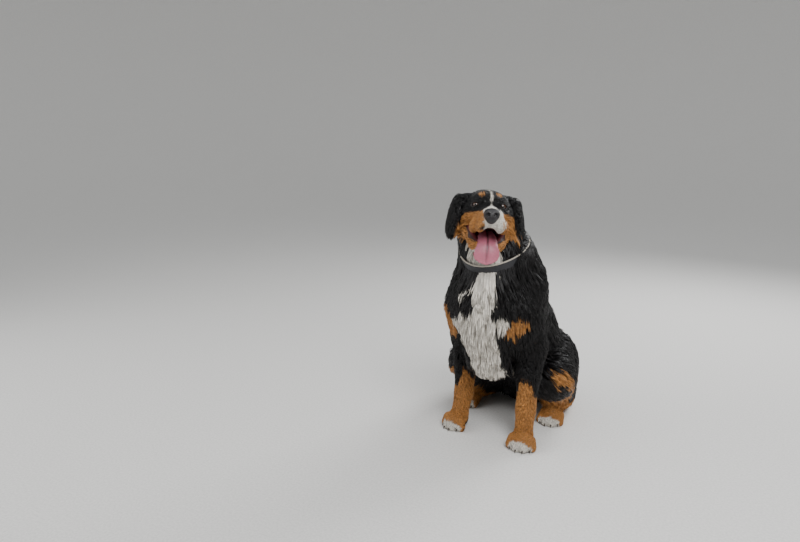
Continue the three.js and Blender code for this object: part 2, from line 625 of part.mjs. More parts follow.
// A hoop round the neck from a section in millimetres: how far out, and how far up the neck
function collarHoop(section) {
  return hoop(
    Array.from({ length: COLLAR_AROUND }, (_, k) => {
      const { edge, out } = neckEdge((k / COLLAR_AROUND) * 2 * Math.PI, 0);
      return section.map(([a, b]) => edge.clone().addScaledVector(out, a).addScaledVector(COLLAR_UP, b));
    }),
  );
}
const bandSection = (grow = 0) =>
  [[0, -0.5], [0, 0.5], [1, 0.42], [1, -0.42]].map(([a, b]) => [
    (a - 0.4) * COLLAR_THICK + (a - 0.5) * 2 * grow,
    b * (COLLAR_WIDTH + 2.4 * grow),
  ]);
const trimSection = (rise) => (grow = 0) =>
  [[1, 0], [0, 1], [-1, 0], [0, -1]].map(([a, b]) => [a * (TRIM_RADIUS + grow) + 1.4, b * (TRIM_RADIUS + grow) + rise]);
const TRIM_RISE = COLLAR_WIDTH / 2 + TRIM_RADIUS + GAP;
const collarSections = {
  collar: bandSection,
  collar_trim_upper: trimSection(TRIM_RISE),
  collar_trim_lower: trimSection(-TRIM_RISE),
};
// The space that the collar and its trims take out of the neck
const roomHalf = TRIM_RISE + TRIM_RADIUS + GAP + 0.2;
const roomDepth = 0.4 * COLLAR_THICK + 0.5;
const collarRoom = meshSolid(
  collarHoop([[-roomDepth, -roomHalf], [-roomDepth, roomHalf], [3 * COLLAR_THICK, roomHalf], [3 * COLLAR_THICK, -roomHalf]]),
);

// The model
const group = new THREE.Group();
function addNode(name, solid, color, roughness = 0.85) {
  const { numProp, vertProperties, triVerts, numVert } = largest(solid).getMesh();
  const position = new Float32Array(numVert * 3);
  for (let i = 0; i < numVert; i++) position.set(vertProperties.subarray(i * numProp, i * numProp + 3), i * 3);
  const geometry = new THREE.BufferGeometry();
  geometry.setAttribute("position", new THREE.BufferAttribute(position, 3));
  geometry.setIndex(new THREE.BufferAttribute(triVerts, 1));
  const mesh = new THREE.Mesh(geometry, new THREE.MeshStandardMaterial({ color, roughness }));
  mesh.name = name;
  group.add(mesh);
}
const BLACK = 0x17161a;
const RUST = 0x9a5524;
const WHITE = 0xe6e1d8;
const PINK = 0xc0707f;
const LEATHER = 0x1c1a1c;
const HORN = 0x2a2624;

// Places where one node ends and the next begins, as planes: an outward normal and a point
const THROAT = [V(0, -0.577, 0.817), V(0, -85, 721)];
const NECK_FOOT = [V(0, -0.42, 0.9), V(0, -60, 590)];
const facing = ([n, p]) => [n.clone().negate(), p];
const onSide = (side, name) => name + (side > 0 ? "_left" : "_right");
const tailTurn = TAIL_PATH[2].clone().sub(TAIL_PATH[1]);

const regions = [];
const cutRegion = (name, color, planes, box = null) => regions.push({ name, color, planes, box });
const tailBox = [V(-280, 330, -40), V(90, 720, 160), TAIL_CELL];
cutRegion("neck", BLACK, [THROAT, facing(NECK_FOOT)]);
cutRegion("tail_root", BLACK, [[V(0, -1, -0.15), V(0, 392, 78)], [tailTurn, TAIL_PATH[2]]], tailBox);
cutRegion("tail_tip", BLACK, [[tailTurn.clone().negate(), TAIL_PATH[2]], [V(0, -1, 0), V(0, 400, 0)]], tailBox);
for (const side of SIDES) {
  const box = (x0, y0, z0, x1, y1, z1, cell) => [V(side > 0 ? x0 : -x1, y0, z0), V(side > 0 ? x1 : -x0, y1, z1), cell];
  cutRegion(
    onSide(side, "forepaw"),
    RUST,
    [[V(0, 0, 1), V(0, 0, 98)], [V(-side, 0, 0), V(side * 50, 0, 0)], [V(0, 1, 0), V(0, -15, 0)]],
    box(50, -260, -30, 230, 0, 130, PAW_CELL),
  );
  cutRegion(
    onSide(side, "foreleg"),
    BLACK,
    [
      [V(-side * 0.93, 0, 0.37), V(side * 84, -60, 330)],
      [V(0, 0.95, -0.3), V(0, 2, 205)],
      [V(0, -0.3, 1), V(0, -60, 392)],
    ],
    box(20, -240, 40, 240, 70, 460, LEG_CELL),
  );
  cutRegion(
    onSide(side, "hindpaw"),
    RUST,
    [[V(0, 0.12, 1), V(0, 200, 64)], [V(-side, 0, 0), V(side * 116, 0, 0)], [V(0, 1, 0), V(0, 310, 0)]],
    box(95, -20, -30, 260, 350, 110, PAW_CELL),
  );
  cutRegion(onSide(side, "thigh"), BLACK, [[V(-side * 0.9, 0.1, 0.36), V(side * 100, 150, 200)], [V(0, -1, 0), V(0, -20, 0)]]);
}
cutRegion("chest", WHITE, [[V(0, 1, 0.1), V(0, -78, 420)]]);
cutRegion("rump", BLACK, [[V(0, -0.6, 0.8), V(0, 205, 262)]]);
cutRegion("torso", BLACK, []);

const LONG_COAT = { spacing: 77, length: 124, width: 60, thick: 11 };
const bodyLocks = growLocks(body, bodyMesh, {
  ...LONG_COAT,
  seed: SEED,
  from: 18,
  wanted: (p) => p.z > 30 && aboveCollar(p) < -COLLAR_WIDTH,
});

// Claws, two to each toe's side of the paw's front
function clawsOf(toe, heel, spread, radius) {
  const ahead = toe.clone().sub(heel).setZ(0).normalize();
  const across = V(-ahead.y, ahead.x, 0);
  return [-1.5, -0.5, 0.5, 1.5].map((place) => {
    const back = Math.abs(place) > 1 ? 22 : 5;
    const tip = toe.clone().addScaledVector(across, place * spread * 0.78).addScaledVector(ahead, -back).setZ(radius - 1);
    const root = tip.clone().addScaledVector(ahead, radius - 6).setZ(radius + 1);
    return spike(root, root.clone().addScaledVector(ahead, CLAW_LENGTH).setZ(3), 4, V(0, 0, 2));
  });
}
const claws = SIDES.flatMap((side) => [
  ...clawsOf(FORE_TOE(side), WRIST(side), 30, 15.5),
  ...clawsOf(HIND_TOE(side), HOCK(side), 28, 15),
]);

const bodySolid = meshSolid(bodyMesh);
const grownParts = (meshes) => meshes.map((mesh) => meshSolid(grown(mesh, GAP + 0.1)));
const taken = [region([facing(THROAT)], GAP), collarRoom];
for (const { name, color, planes, box } of regions) {
  const core = box ? meshSolid(meshOf((p) => body.core(p), evenGrid(...box))) : bodySolid;
  const extra = name.includes("paw") ? claws : bodyLocks.map((l) => l.solid);
  const whole = unite([core, ...extra]).trimByPlane([0, 0, 1], 0);
  addNode(name, whole.intersect(region(planes)).subtract(unite(taken)), color);
  taken.push(region(planes, GAP));
}
for (const [name, section] of Object.entries(collarSections))
  addNode(name, meshSolid(collarHoop(section())), name === "collar" ? LEATHER : WHITE, 0.5);

// The eyes, and round each a lid with an almond opening
const ball = (middle, radius, across = 10) =>
  solidOf(new THREE.SphereGeometry(radius, across, Math.round(across * 0.7)), HEAD_FRAME.clone().multiply(new THREE.Matrix4().setPosition(middle)));
const lidOpening = (side) => {
  const look = turned(0, side * 4, side * 26).setPosition(EYE(side));
  const almond = new THREE.SphereGeometry(1, 10, 6);
  const reach = new THREE.Matrix4().makeTranslation(0, -14, 0.5).multiply(new THREE.Matrix4().makeScale(12.2, 12, 6.6));
  return solidOf(almond, HEAD_FRAME.clone().multiply(look).multiply(reach));
};
const lids = SIDES.map((side) => ball(EYE(side), EYE_RADIUS + LID_THICK));
const sockets = SIDES.flatMap((side) => [ball(EYE(side), EYE_RADIUS + GAP + 0.2), lidOpening(side)]);

// Teeth. The lower ones are fused to the jaw, the upper canines to the head.
const inJaw = (x, y, z) => V(x, y, z).applyMatrix4(JAW_FRAME);
const inHead = (x, y, z) => V(x, y, z).applyMatrix4(HEAD_FRAME);
const lowerTeeth = SIDES.flatMap((side) => [
  spike(inJaw(side * 18, -126, -4), inJaw(side * 21, -131, 22), 6, V(0, 0, 0)),
  ...[3.5, 10].map((x) => spike(inJaw(side * x, -137 + x * 0.3, -2), inJaw(side * x, -139 + x * 0.3, 9), 3.2, V(0, 0, 0), 4)),
]);
const upperTeeth = SIDES.map((side) => spike(inHead(side * 21, -136, -44), inHead(side * 22, -138, -62), 6.5));

const tongue = tongueMesh();
const aboveThroat = region([facing(THROAT)]);
const headSolid = unite([meshSolid(headMesh), ...lids, ...upperTeeth]).intersect(aboveThroat);
const jawSolid = unite([meshSolid(jawMesh), ...lowerTeeth]).intersect(aboveThroat);
addNode("head", headSolid.subtract(unite([...sockets, ...grownParts([jawMesh, noseMesh, tongue])])), BLACK);
addNode("lower_jaw", jawSolid.subtract(unite(grownParts([tongue]))), RUST);
addNode("tongue", meshSolid(tongue), PINK, 0.5);
addNode("nose", meshSolid(noseMesh), HORN, 0.4);
for (const side of SIDES) {
  addNode(onSide(side, "eye"), ball(EYE(side), EYE_RADIUS), 0x2a1608, 0.1);
  const ear = fieldOf((f) => addEar(f, side));
  const low = V(side > 0 ? 20 : -160, -60, -120);
  const high = V(side > 0 ? 160 : -20, 110, 90);
  const earMesh = meshOf((p) => ear.core(p), evenGrid(low, high, EAR_CELL), HEAD_FRAME);
  addNode(onSide(side, "ear"), meshSolid(earMesh).subtract(unite(grownParts([headMesh, jawMesh]))), BLACK);
}

// The middle of the model's footprint goes to the origin
const span = new THREE.Box3().setFromObject(group);
const middle = span.getCenter(V(0, 0, 0)).setZ(span.min.z);
group.children.forEach((mesh) => mesh.geometry.translate(-middle.x, -middle.y, -middle.z));

export default group;
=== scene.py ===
"""A life-size Bernese mountain dog, sitting and panting, dressed for the render.

The flesh is one field of rounded bones and muscle masses, in millimetres, shaped as in the solids.
One skin is meshed from it, and the coat grows on that skin as solid tufts along the lie of the hair.
"""

import math

import bpy
import numpy as np
from bpy.props import FloatProperty, IntProperty, PointerProperty
from mathutils import Matrix, Vector
from mathutils.kdtree import KDTree


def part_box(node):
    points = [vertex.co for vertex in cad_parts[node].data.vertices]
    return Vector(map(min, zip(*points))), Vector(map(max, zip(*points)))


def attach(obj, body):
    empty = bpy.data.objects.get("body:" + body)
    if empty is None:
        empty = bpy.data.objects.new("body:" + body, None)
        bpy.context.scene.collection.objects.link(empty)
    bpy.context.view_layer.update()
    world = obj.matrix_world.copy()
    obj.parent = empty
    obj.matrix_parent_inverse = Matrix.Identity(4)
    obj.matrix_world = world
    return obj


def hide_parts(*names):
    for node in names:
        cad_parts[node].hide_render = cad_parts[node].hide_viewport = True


bl_info = {
    "name": "Seated Bernese Mountain Dog",
    "version": (1, 0, 0),
    "blender": (4, 5, 0),
    "location": "View3D > Sidebar > Dog",
    "description": "Dresses the packed solids of a seated dog with skin, coat, eyes and collar",
    "category": "Add Mesh",
}

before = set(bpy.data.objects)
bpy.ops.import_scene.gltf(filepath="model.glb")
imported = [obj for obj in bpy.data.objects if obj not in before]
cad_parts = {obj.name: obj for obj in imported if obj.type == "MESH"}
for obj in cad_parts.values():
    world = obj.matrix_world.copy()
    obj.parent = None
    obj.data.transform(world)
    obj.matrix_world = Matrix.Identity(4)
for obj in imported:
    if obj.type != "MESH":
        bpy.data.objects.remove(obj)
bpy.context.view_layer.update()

# Driving dimensions, in millimetres, as in the solids
HEAD_TOP = 868
SHOULDER_HALF = 92
HEAD_YAW = 28
HEAD_LIFT = 5
HEAD_ROLL = 4
JAW_OPEN = 29
CORE_SHARE = 0.45
COLLAR_WIDTH = 28
COLLAR_THICK = 6
TRIM_RADIUS = 2.6
GAP = 0.3
EYE_RADIUS = 11.5
SIDES = (1, -1)

# The coat's colours, linear
BLACK = (0.0045, 0.0038, 0.0042)
RUST = (0.46, 0.205, 0.056)
WHITE = (0.72, 0.68, 0.61)


def turned(x, y, z):
    """A turn about Y, then X, then Z, in degrees."""
    turns = [Matrix.Rotation(math.radians(a), 4, axis) for a, axis in ((z, "Z"), (x, "X"), (y, "Y"))]
    return np.array(turns[0] @ turns[1] @ turns[2])


def moved(x, y, z):
    return np.array(Matrix.Translation((x, y, z)))


def apply(matrix, points):
    return np.asarray(points, float) @ matrix[:3, :3].T + matrix[:3, 3]


def unit(v):
    v = np.asarray(v, float)
    return v / np.maximum(np.linalg.norm(v, axis=-1, keepdims=True), 1e-9)


def circle(count):
    """Even turns round a circle, in radians."""
    return np.linspace(0, 2 * math.pi, count, endpoint=False)


WORLD = np.eye(4)
HEAD_FRAME = moved(-8, -152, HEAD_TOP - 66) @ turned(-HEAD_LIFT, HEAD_ROLL, HEAD_YAW)
JAW_HINGE = (0, 4, -44)
JAW_FRAME = HEAD_FRAME @ moved(*JAW_HINGE) @ turned(JAW_OPEN, 0, 0)


class Flesh:
    """Tapered bones and ellipsoid masses that run smoothly into each other, less the cuts.

    Each maker adds its own, in the frame that it sets.
    """

    def __init__(self, *makers):
        self.parts = []
        self.cuts = []
        for make in makers:
            self.frame = WORLD
            make(self)

    def bone(self, a, b, ra, rb, coat=0, lie=None, blend=20):
        p, q = apply(self.frame, a), apply(self.frame, b)
        way = unit(q - p) if lie is None else unit(self.frame[:3, :3] @ np.array(lie, float))
        reach = np.linalg.norm(q - p) / 2 + max(ra, rb)
        self.parts.append(("bone", p, q, (ra, rb), coat, way, blend, (p + q) / 2, reach))

    def mass(self, c, r, coat=0, lie=(0, 1, 0), blend=20, turn=WORLD):
        middle = apply(self.frame, c)
        place = self.frame @ turn
        place[:3, 3] = middle
        way = unit(self.frame[:3, :3] @ np.array(lie, float))
        size = np.array(r, float)
        self.parts.append(("mass", np.linalg.inv(place), None, size, coat, way, blend, middle, max(r)))

    def hollow(self, make):
        self.cuts += Flesh(make).parts

    @staticmethod
    def distance(part, points):
        kind, p, q, r = part[:4]
        if kind == "mass":
            local = apply(p, points)
            k0 = np.linalg.norm(local / r, axis=1)
            k1 = np.linalg.norm(local / r**2, axis=1)
            return k0 * (k0 - 1) / np.maximum(k1, 1e-9)
        along = q - p
        t = np.clip((points - p) @ along / (along @ along), 0, 1)
        return np.linalg.norm(points - p - t[:, None] * along, axis=1) - (r[0] + (r[1] - r[0]) * t)

    def at(self, points):
        """Distance to the skin, depth of the coat and way of the hair at each point."""
        points = np.atleast_2d(points)
        d = np.full(len(points), 1e4)
        coat = np.zeros(len(points))
        way = np.zeros((len(points), 3))
        for part in self.parts:
            depth, lie, k, middle, reach = part[4:]
            near = np.linalg.norm(points - middle, axis=1) - reach < d + k + 5
            if not near.any():
                continue
            e = Flesh.distance(part, points[near])
            h = np.clip(0.5 + 0.5 * (d[near] - e) / k, 0, 1)
            d[near] += (e - d[near]) * h - k * h * (1 - h)
            coat[near] += (depth - coat[near]) * h
            way[near] += (lie - way[near]) * h[:, None]
        for part in self.cuts:
            k = part[6]
            e = -Flesh.distance(part, points)
            h = np.clip(0.5 + 0.5 * (e - d) / k, 0, 1)
            d += (e - d) * h + k * h * (1 - h)
        return d, coat, way


# Skeleton of the sitting dog. side is 1 on its left and -1 on its right.
NECK_BASE = (0, -38, 565)
NECK_MIDDLE = (-2, -82, 655)
NECK_TOP = (-6, -112, 745)
ELBOW = {1: (126, -52, 330), -1: (-116, -48, 330)}
WRIST = {1: (138, -112, 120), -1: (-108, -88, 124)}
FORE_TOE = {1: (150, -196, 22), -1: (-132, -158, 22)}
HIP = {side: (side * 92, 262, 178) for side in SIDES}
KNEE = {side: (side * 160, 92, 188) for side in SIDES}
HOCK = {side: (side * 152, 272, 42) for side in SIDES}
HIND_TOE = {side: (side * 172, 52, 22) for side in SIDES}
EYE = {side: (side * 42, -50, 19) for side in SIDES}
TAIL_PATH = [(0, 372, 78), (-18, 455, 50), (-62, 535, 43), (-128, 592, 41), (-200, 616, 40)]
DOWN = (0, 0.15, -1)


def blend_of(a, b, t):
    return tuple((1 - t) * x + t * y for x, y in zip(a, b))


def add_trunk(f):
    f.mass((0, -8, 425), (126, 140, 178), coat=34, lie=(0, 0.5, -0.85), blend=30, turn=turned(33, 0, 0))
    f.mass((0, 10, 560), (82, 84, 68), coat=34, lie=(0, 0.8, -0.6), blend=45, turn=turned(30, 0, 0))
    f.mass((0, -148, 425), (70, 58, 84), coat=40, lie=DOWN, blend=40)
    f.mass((0, -88, 300), (66, 70, 60), coat=42, lie=(0, 0.35, -1), blend=45)
    f.mass((0, 112, 330), (144, 120, 172), coat=32, lie=(0, 0.5, -0.8), blend=50, turn=turned(38, 0, 0))
    f.mass((0, 238, 178), (132, 114, 128), coat=32, lie=(0, 0.6, -0.8), blend=50)
    f.mass((0, 300, 92), (118, 78, 88), coat=26, lie=(0, 0.5, -0.9), blend=40)
    for side in SIDES:
        lie, turn = (side * 0.1, 0.2, -1), turned(-14, side * 8, 0)
        f.mass((side * 88, -78, 462), (48, 74, 112), coat=30, lie=lie, blend=40, turn=turn)


def add_neck(f):
    f.bone(NECK_TOP, NECK_MIDDLE, 78, 88, coat=26, blend=40, lie=(0, 0.3, -1))
    f.bone(NECK_MIDDLE, NECK_BASE, 96, 120, coat=40, blend=45, lie=(0, 0.25, -1))
    f.bone((0, -118, 640), (0, -150, 500), 60, 72, coat=42, blend=45, lie=DOWN)


def add_forelegs(f):
    for side in SIDES:
        halfway = blend_of(ELBOW[side], WRIST[side], 0.45)
        f.bone((side * SHOULDER_HALF, -120, 455), ELBOW[side], 62, 45, coat=17, blend=30, lie=DOWN)
        f.bone(ELBOW[side], halfway, 43, 34, coat=12, blend=22, lie=DOWN)
        f.bone(halfway, WRIST[side], 34, 27, coat=8, blend=16, lie=DOWN)


def toe_frame(toe, heel):
    """The level direction from heel to toe, and the one across it to the left."""
    ahead = unit(np.array([toe[0] - heel[0], toe[1] - heel[1], 0.0]))
    return ahead, np.array([-ahead[1], ahead[0], 0.0])


# Where the four toes stand across a foot, and each foot's spread, toe radius and knuckle height
TOE_PLACES = (-1.5, -0.5, 0.5, 1.5)
FORE_FOOT = (30, 15.5, 24)
HIND_FOOT = (28, 15, 20)


def toe_tip(toe, heel, place, spread, radius):
    ahead, across = toe_frame(toe, heel)
    back = 22 if abs(place) > 1 else 5
    tip = np.array(toe, float) + across * place * spread * 0.78 - ahead * back
    tip[2] = radius - 1
    return tip, back


def add_toes(f, heel, toe, spread, radius, knuckle):
    ahead, across = toe_frame(toe, heel)
    low, front = np.array(heel, float), np.array(heel, float) + ahead * 30
    low[2], front[2] = 30, 27
    f.bone(low, front, 29, 31, coat=4, blend=12, lie=ahead)
    for place in TOE_PLACES:
        tip, back = toe_tip(toe, heel, place, spread, radius)
        arch = np.array(heel, float) + ahead * (34 - back * 0.35) + across * place * spread * 0.66
        arch[2] = knuckle + 8
        f.bone(arch, tip, radius + 0.5, radius, coat=3, blend=7, lie=ahead)


def fore_heel(side):
    x, y, _ = blend_of(WRIST[side], FORE_TOE[side], 0.3)
    return x, y, 40


def hind_heel(side):
    x, y, _ = blend_of(HIND_TOE[side], HOCK[side], 0.38)
    return x, y, 34


def add_paws(f):
    for side in SIDES:
        f.bone(WRIST[side], fore_heel(side), 27, 27, coat=6, blend=14, lie=DOWN)
        add_toes(f, fore_heel(side), FORE_TOE[side], *FORE_FOOT)
        f.bone(HOCK[side], hind_heel(side), 29, 27, coat=7, blend=18, lie=(0, -1, 0))
        add_toes(f, hind_heel(side), HIND_TOE[side], *HIND_FOOT)


def add_hindlegs(f):
    for side in SIDES:
        hip, knee, hock = (np.array(joint[side], float) for joint in (HIP, KNEE, HOCK))
        lie = (side * 0.75, 0.4, -0.6)
        thigh = dict(coat=34, lie=lie, blend=40, turn=turned(18, 0, side * 22))
        f.mass(hip + (side * 12, -28, 4), (74, 122, 106), **thigh)
        f.bone(hip, knee, 90, 62, coat=30, blend=40, lie=lie)
        f.bone(knee + (0, 6, -14), hock + (0, -26, 14), 58, 38, coat=24, blend=34, lie=lie)


def add_tail(f):
    radii = (40, 33, 28, 24, 19)
    for i, coat in enumerate((26, 40, 44, 38)):
        f.bone(TAIL_PATH[i], TAIL_PATH[i + 1], radii[i], radii[i + 1], coat=coat, blend=24)


def add_skull(f):
    f.frame = HEAD_FRAME
    f.mass((0, 34, 8), (73, 84, 56), coat=8, blend=20)
    f.mass((0, -22, 24), (56, 44, 38), coat=6, blend=24, lie=(0, 1, 0.5))
    f.bone((0, 70, -20), (0, 120, -70), 66, 70, coat=20, blend=40)
    for side in SIDES:
        f.mass((side * 31, -38, 31), (22, 20, 15), coat=5, blend=14, lie=(side * 0.4, 1, 0.4))
        f.mass((side * 51, -8, -12), (29, 50, 30), coat=8, blend=22, lie=(side * 0.3, 1, -0.1))
        f.mass((side * 60, 28, -50), (30, 46, 46), coat=16, blend=26, lie=(side * 0.3, 1, -0.5))
        f.mass(EYE[side], (17, 14, 14), coat=2, blend=10, lie=(side * 0.3, 1, 0))


def add_muzzle(f):
    f.frame = HEAD_FRAME
    f.mass((0, -66, -14), (45, 48, 28), coat=4, blend=22, lie=(0, 1, 0.3))
    f.mass((0, -106, -15), (36, 50, 26), coat=3, blend=18, lie=(0, 1, 0.2))
    f.mass((0, -139, -21), (33, 22, 27), coat=3, blend=14, lie=(0, 1, 0))
    for side in SIDES:
        front = turned(0, side * -12, side * 8)
        back = turned(-4, side * -16, side * 14)
        f.mass((side * 25, -122, -41), (17, 37, 24), coat=3, blend=12, lie=(0, 1, -0.3), turn=front)
        f.mass((side * 41, -76, -46), (15, 46, 23), coat=4, blend=14, lie=(0, 1, -0.3), turn=back)


def cut_mouth(h):
    h.frame = HEAD_FRAME
    h.mass((0, -88, -74), (32, 92, 32), blend=8, turn=turned(4, 0, 0))
    h.mass((0, -54, -80), (60, 50, 29), blend=8)


def cut_philtrum(h):
    h.frame = HEAD_FRAME
    h.bone((0, -176, -30), (0, -158, -58), 1.5, 1.5, blend=4)


def cut_eyes(h):
    h.frame = HEAD_FRAME
    for side in SIDES:
        h.mass(EYE[side], (EYE_RADIUS + 0.2,) * 3, blend=0.8)
        slant = turned(0, side * 4, side * 26)
        opening = apply(moved(*EYE[side]) @ slant, (0, -14, 0.5))
        h.mass(opening, (12.2, 12, 6.6), turn=slant, blend=1.5)


def add_jaw(f):
    f.frame = JAW_FRAME
    chin = (0, 1, -0.4)
    for side in SIDES:
        lie = (side * 0.2, 1, -0.3)
        f.bone((side * 60, -8, -8), (side * 38, -92, -14), 20, 15, coat=9, blend=18, lie=lie)
        f.bone((side * 38, -92, -14), (side * 14, -132, -10), 15, 13, coat=5, blend=14, lie=chin)
    f.mass((0, -70, -24), (40, 66, 16), coat=10, blend=20, lie=(0, 1, -0.2))
    f.mass((0, -128, -16), (24, 18, 15), coat=6, blend=14, lie=chin)
    f.hollow(cut_jaw)


def cut_jaw(h):
    h.frame = JAW_FRAME
    h.bone((0, -10, 20), (0, -108, 12), 43, 26, blend=8)


def ear_flap(side):
    return turned(-6, side * -10, side * -14)


def add_ears(f):
    f.frame = HEAD_FRAME
    for side in SIDES:
        fold = dict(lie=(side, 0.3, -0.6), turn=turned(0, side * 26, side * -16))
        flap = dict(lie=(side * 0.1, 0.1, -1), turn=ear_flap(side))
        f.mass((side * 71, 26, 31), (32, 30, 15), coat=9, blend=12, **fold)
        f.mass((side * 104, 22, -24), (14, 44, 68), coat=11, blend=16, **flap)
    f.hollow(cut_ears)


def cut_ears(h):
    h.frame = HEAD_FRAME
    for side in SIDES:
        h.mass((side * 89, 12, -30), (12, 30, 50), blend=6, turn=ear_flap(side))


def add_nose(f):
    f.frame = HEAD_FRAME
    f.mass((0, -156, -13), (20, 17, 25), blend=6)
    for side in SIDES:
        f.mass((side * 13, -160, -7), (12, 13, 16), blend=6)
    f.hollow(cut_nostrils)


def cut_nostrils(h):
    h.frame = HEAD_FRAME
    for side in SIDES:
        h.mass((side * 11.5, -175, -8), (5.5, 9, 6), blend=2)
        h.bone((side * 14, -175, -11), (side * 23, -165, -14), 2.6, 2.2, blend=2)


BODY = (add_trunk, add_neck, add_tail, add_forelegs, add_paws, add_hindlegs)
TRUNK = Flesh(*BODY)
HEAD = Flesh(*BODY, add_skull, add_muzzle)
for cut in (cut_mouth, cut_philtrum, cut_eyes):
    HEAD.hollow(cut)
JAW = Flesh(add_jaw)
EARS = Flesh(add_ears)
MOUTH = Flesh(cut_mouth)
JAW_BED = Flesh(cut_jaw)


def join(first, second, k):
    """Two readings of Flesh.at, run into each other over k millimetres."""
    h = np.clip(0.5 + 0.5 * (first[0] - second[0]) / k, 0, 1)
    d = first[0] + (second[0] - first[0]) * h - k * h * (1 - h)
    coat = first[1] + (second[1] - first[1]) * h
    return d, coat, first[2] + (second[2] - first[2]) * h[:, None]


# Beyond this distance from the head's middle, neither jaw nor ears are near
HEAD_REACH = 330


def dog_at(points):
    """Distance to the whole dog's skin, depth of the coat and way of the hair."""
    points = np.atleast_2d(points)
    result = HEAD.at(points)
    near = np.linalg.norm(points - HEAD_FRAME[:3, 3], axis=1) < HEAD_REACH
    if near.any():
        part = tuple(r[near] for r in result)
        part = join(part, JAW.at(points[near]), 5)
        part = join(part, EARS.at(points[near]), 5)
        for whole, new in zip(result, part):
            whole[near] = new
    return result


TETRAHEDRON = np.array([(1, 1, 1), (1, -1, -1), (-1, 1, -1), (-1, -1, 1)], float)


def normals_at(points, step=2.0):
    return unit(sum(corner * dog_at(points + step * corner)[0][:, None] for corner in TETRAHEDRON))


# Meshing the field
def grid_lines(*marks):
    """Places from the first mark to the last, with the spacing wanted at each mark."""
    out = [marks[0][0]]
    while out[-1] < marks[-1][0]:
        i = next(i for i, mark in enumerate(marks) if mark[0] > out[-1])
        (a, first), (b, second) = marks[i - 1], marks[i]
        out.append(out[-1] + first + (second - first) * (out[-1] - a) / (b - a))
    return np.array(out)


CORNERS = np.array([(i & 1, i >> 1 & 1, i >> 2 & 1) for i in range(8)])
EDGES = [(a, b) for a in range(8) for b in range(a + 1, 8) if np.abs(CORNERS[a] - CORNERS[b]).sum() == 1]
COARSE = 4


def dual_mesh(level, grid, matrix=WORLD):
    """Vertices and quads of the surface where level is zero, on a grid given by its lines."""
    n = [len(g) for g in grid]
    picks = [np.unique(np.append(np.arange(0, m, COARSE), m - 1)) for m in n]
    nodes = np.stack(np.meshgrid(*[g[p] for g, p in zip(grid, picks)], indexing="ij"), -1)
    rough = level(apply(matrix, nodes.reshape(-1, 3))).reshape(nodes.shape[:3]).astype(np.float32)
    nearest = [np.abs(np.subtract.outer(np.arange(m), p)).argmin(1) for m, p in zip(n, picks)]
    value = rough[np.ix_(*nearest)]
    width = [np.gradient(g) * COARSE for g in grid]
    diagonal = np.sqrt(sum(w**2 for w in np.ix_(*width)))
    band = np.argwhere(np.abs(value) < diagonal * 0.75 + 5)
    points = np.stack([grid[axis][band[:, axis]] for axis in range(3)], -1)
    value[tuple(band.T)] = level(apply(matrix, points))
    inside = value < 0
    blocks = [tuple(slice(c, m - 1 + c) for c, m in zip(corner, n)) for corner in CORNERS]
    count = sum(inside[block].astype(np.int8) for block in blocks)
    cells = np.argwhere((count > 0) & (count < 8))
    total = np.zeros((len(cells), 3))
    hits = np.zeros(len(cells))
    low = np.stack([grid[axis][cells[:, axis]] for axis in range(3)], -1)
    size = np.stack([grid[axis][cells[:, axis] + 1] for axis in range(3)], -1) - low
    for a, b in EDGES:
        va = value[tuple((cells + CORNERS[a]).T)]
        vb = value[tuple((cells + CORNERS[b]).T)]
        cross = (va < 0) != (vb < 0)
        t = np.where(cross, va / np.where(cross, va - vb, 1), 0)[:, None]
        total += cross[:, None] * (CORNERS[a] + (CORNERS[b] - CORNERS[a]) * t)
        hits += cross
    vertices = apply(matrix, low + size * total / hits[:, None])
    number = np.full([m - 1 for m in n], -1, np.int32)
    number[tuple(cells.T)] = np.arange(len(cells))
    quads = []
    for axis in range(3):
        u, v = (axis + 1) % 3, (axis + 2) % 3
        here, there = [slice(1, m - 1) for m in n], [slice(1, m - 1) for m in n]
        here[axis], there[axis] = slice(0, n[axis] - 1), slice(1, n[axis])
        crossing = np.argwhere(inside[tuple(here)] != inside[tuple(there)])
        offset = np.ones(3, int)
        offset[axis] = 0
        edge = crossing + offset
        out = inside[tuple(edge.T)]
        ring = []
        for du, dv in ((-1, -1), (0, -1), (0, 0), (-1, 0)):
            cell = edge.copy()
            cell[:, u] += du
            cell[:, v] += dv
            ring.append(number[tuple(cell.T)])
        ring = np.stack(ring, -1)
        ring[~out] = ring[~out][:, ::-1]
        quads.append(ring)
    return vertices, np.concatenate(quads)


# Blender meshes
def new_object(name, vertices, faces, material):
    """A mesh object from millimetres in the dog's own frame, with its faces given as an array."""
    mesh = bpy.data.meshes.new(name)
    faces = np.asarray(faces)
    sides = faces.shape[1]
    placed = (np.asarray(vertices) + SHIFT) / 1000
    mesh.vertices.add(len(placed))
    mesh.vertices.foreach_set("co", placed.astype(np.float32).ravel())
    mesh.loops.add(faces.size)
    mesh.loops.foreach_set("vertex_index", faces.astype(np.int32).ravel())
    mesh.polygons.add(len(faces))
    mesh.polygons.foreach_set("loop_start", np.arange(0, faces.size, sides, dtype=np.int32))
    mesh.update(calc_edges=True)
    mesh.polygons.foreach_set("use_smooth", np.full(len(faces), True))
    mesh.materials.append(material)
    thing = bpy.data.objects.new(name, mesh)
    bpy.context.scene.collection.objects.link(thing)
    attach(thing, "root")
    return thing


def paint(thing, colours):
    layer = thing.data.color_attributes.new("Tone", "FLOAT_COLOR", "POINT")
    rgba = np.ones((len(colours), 4), np.float32)
    rgba[:, :3] = colours
    layer.data.foreach_set("color", rgba.ravel())


def eye_shift():
    """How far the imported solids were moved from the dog's own frame."""
    low, high = (np.array(corner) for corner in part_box("eye_left"))
    return (low + high) / 2 * 1000 - apply(HEAD_FRAME, EYE[1])


SHIFT = eye_shift()


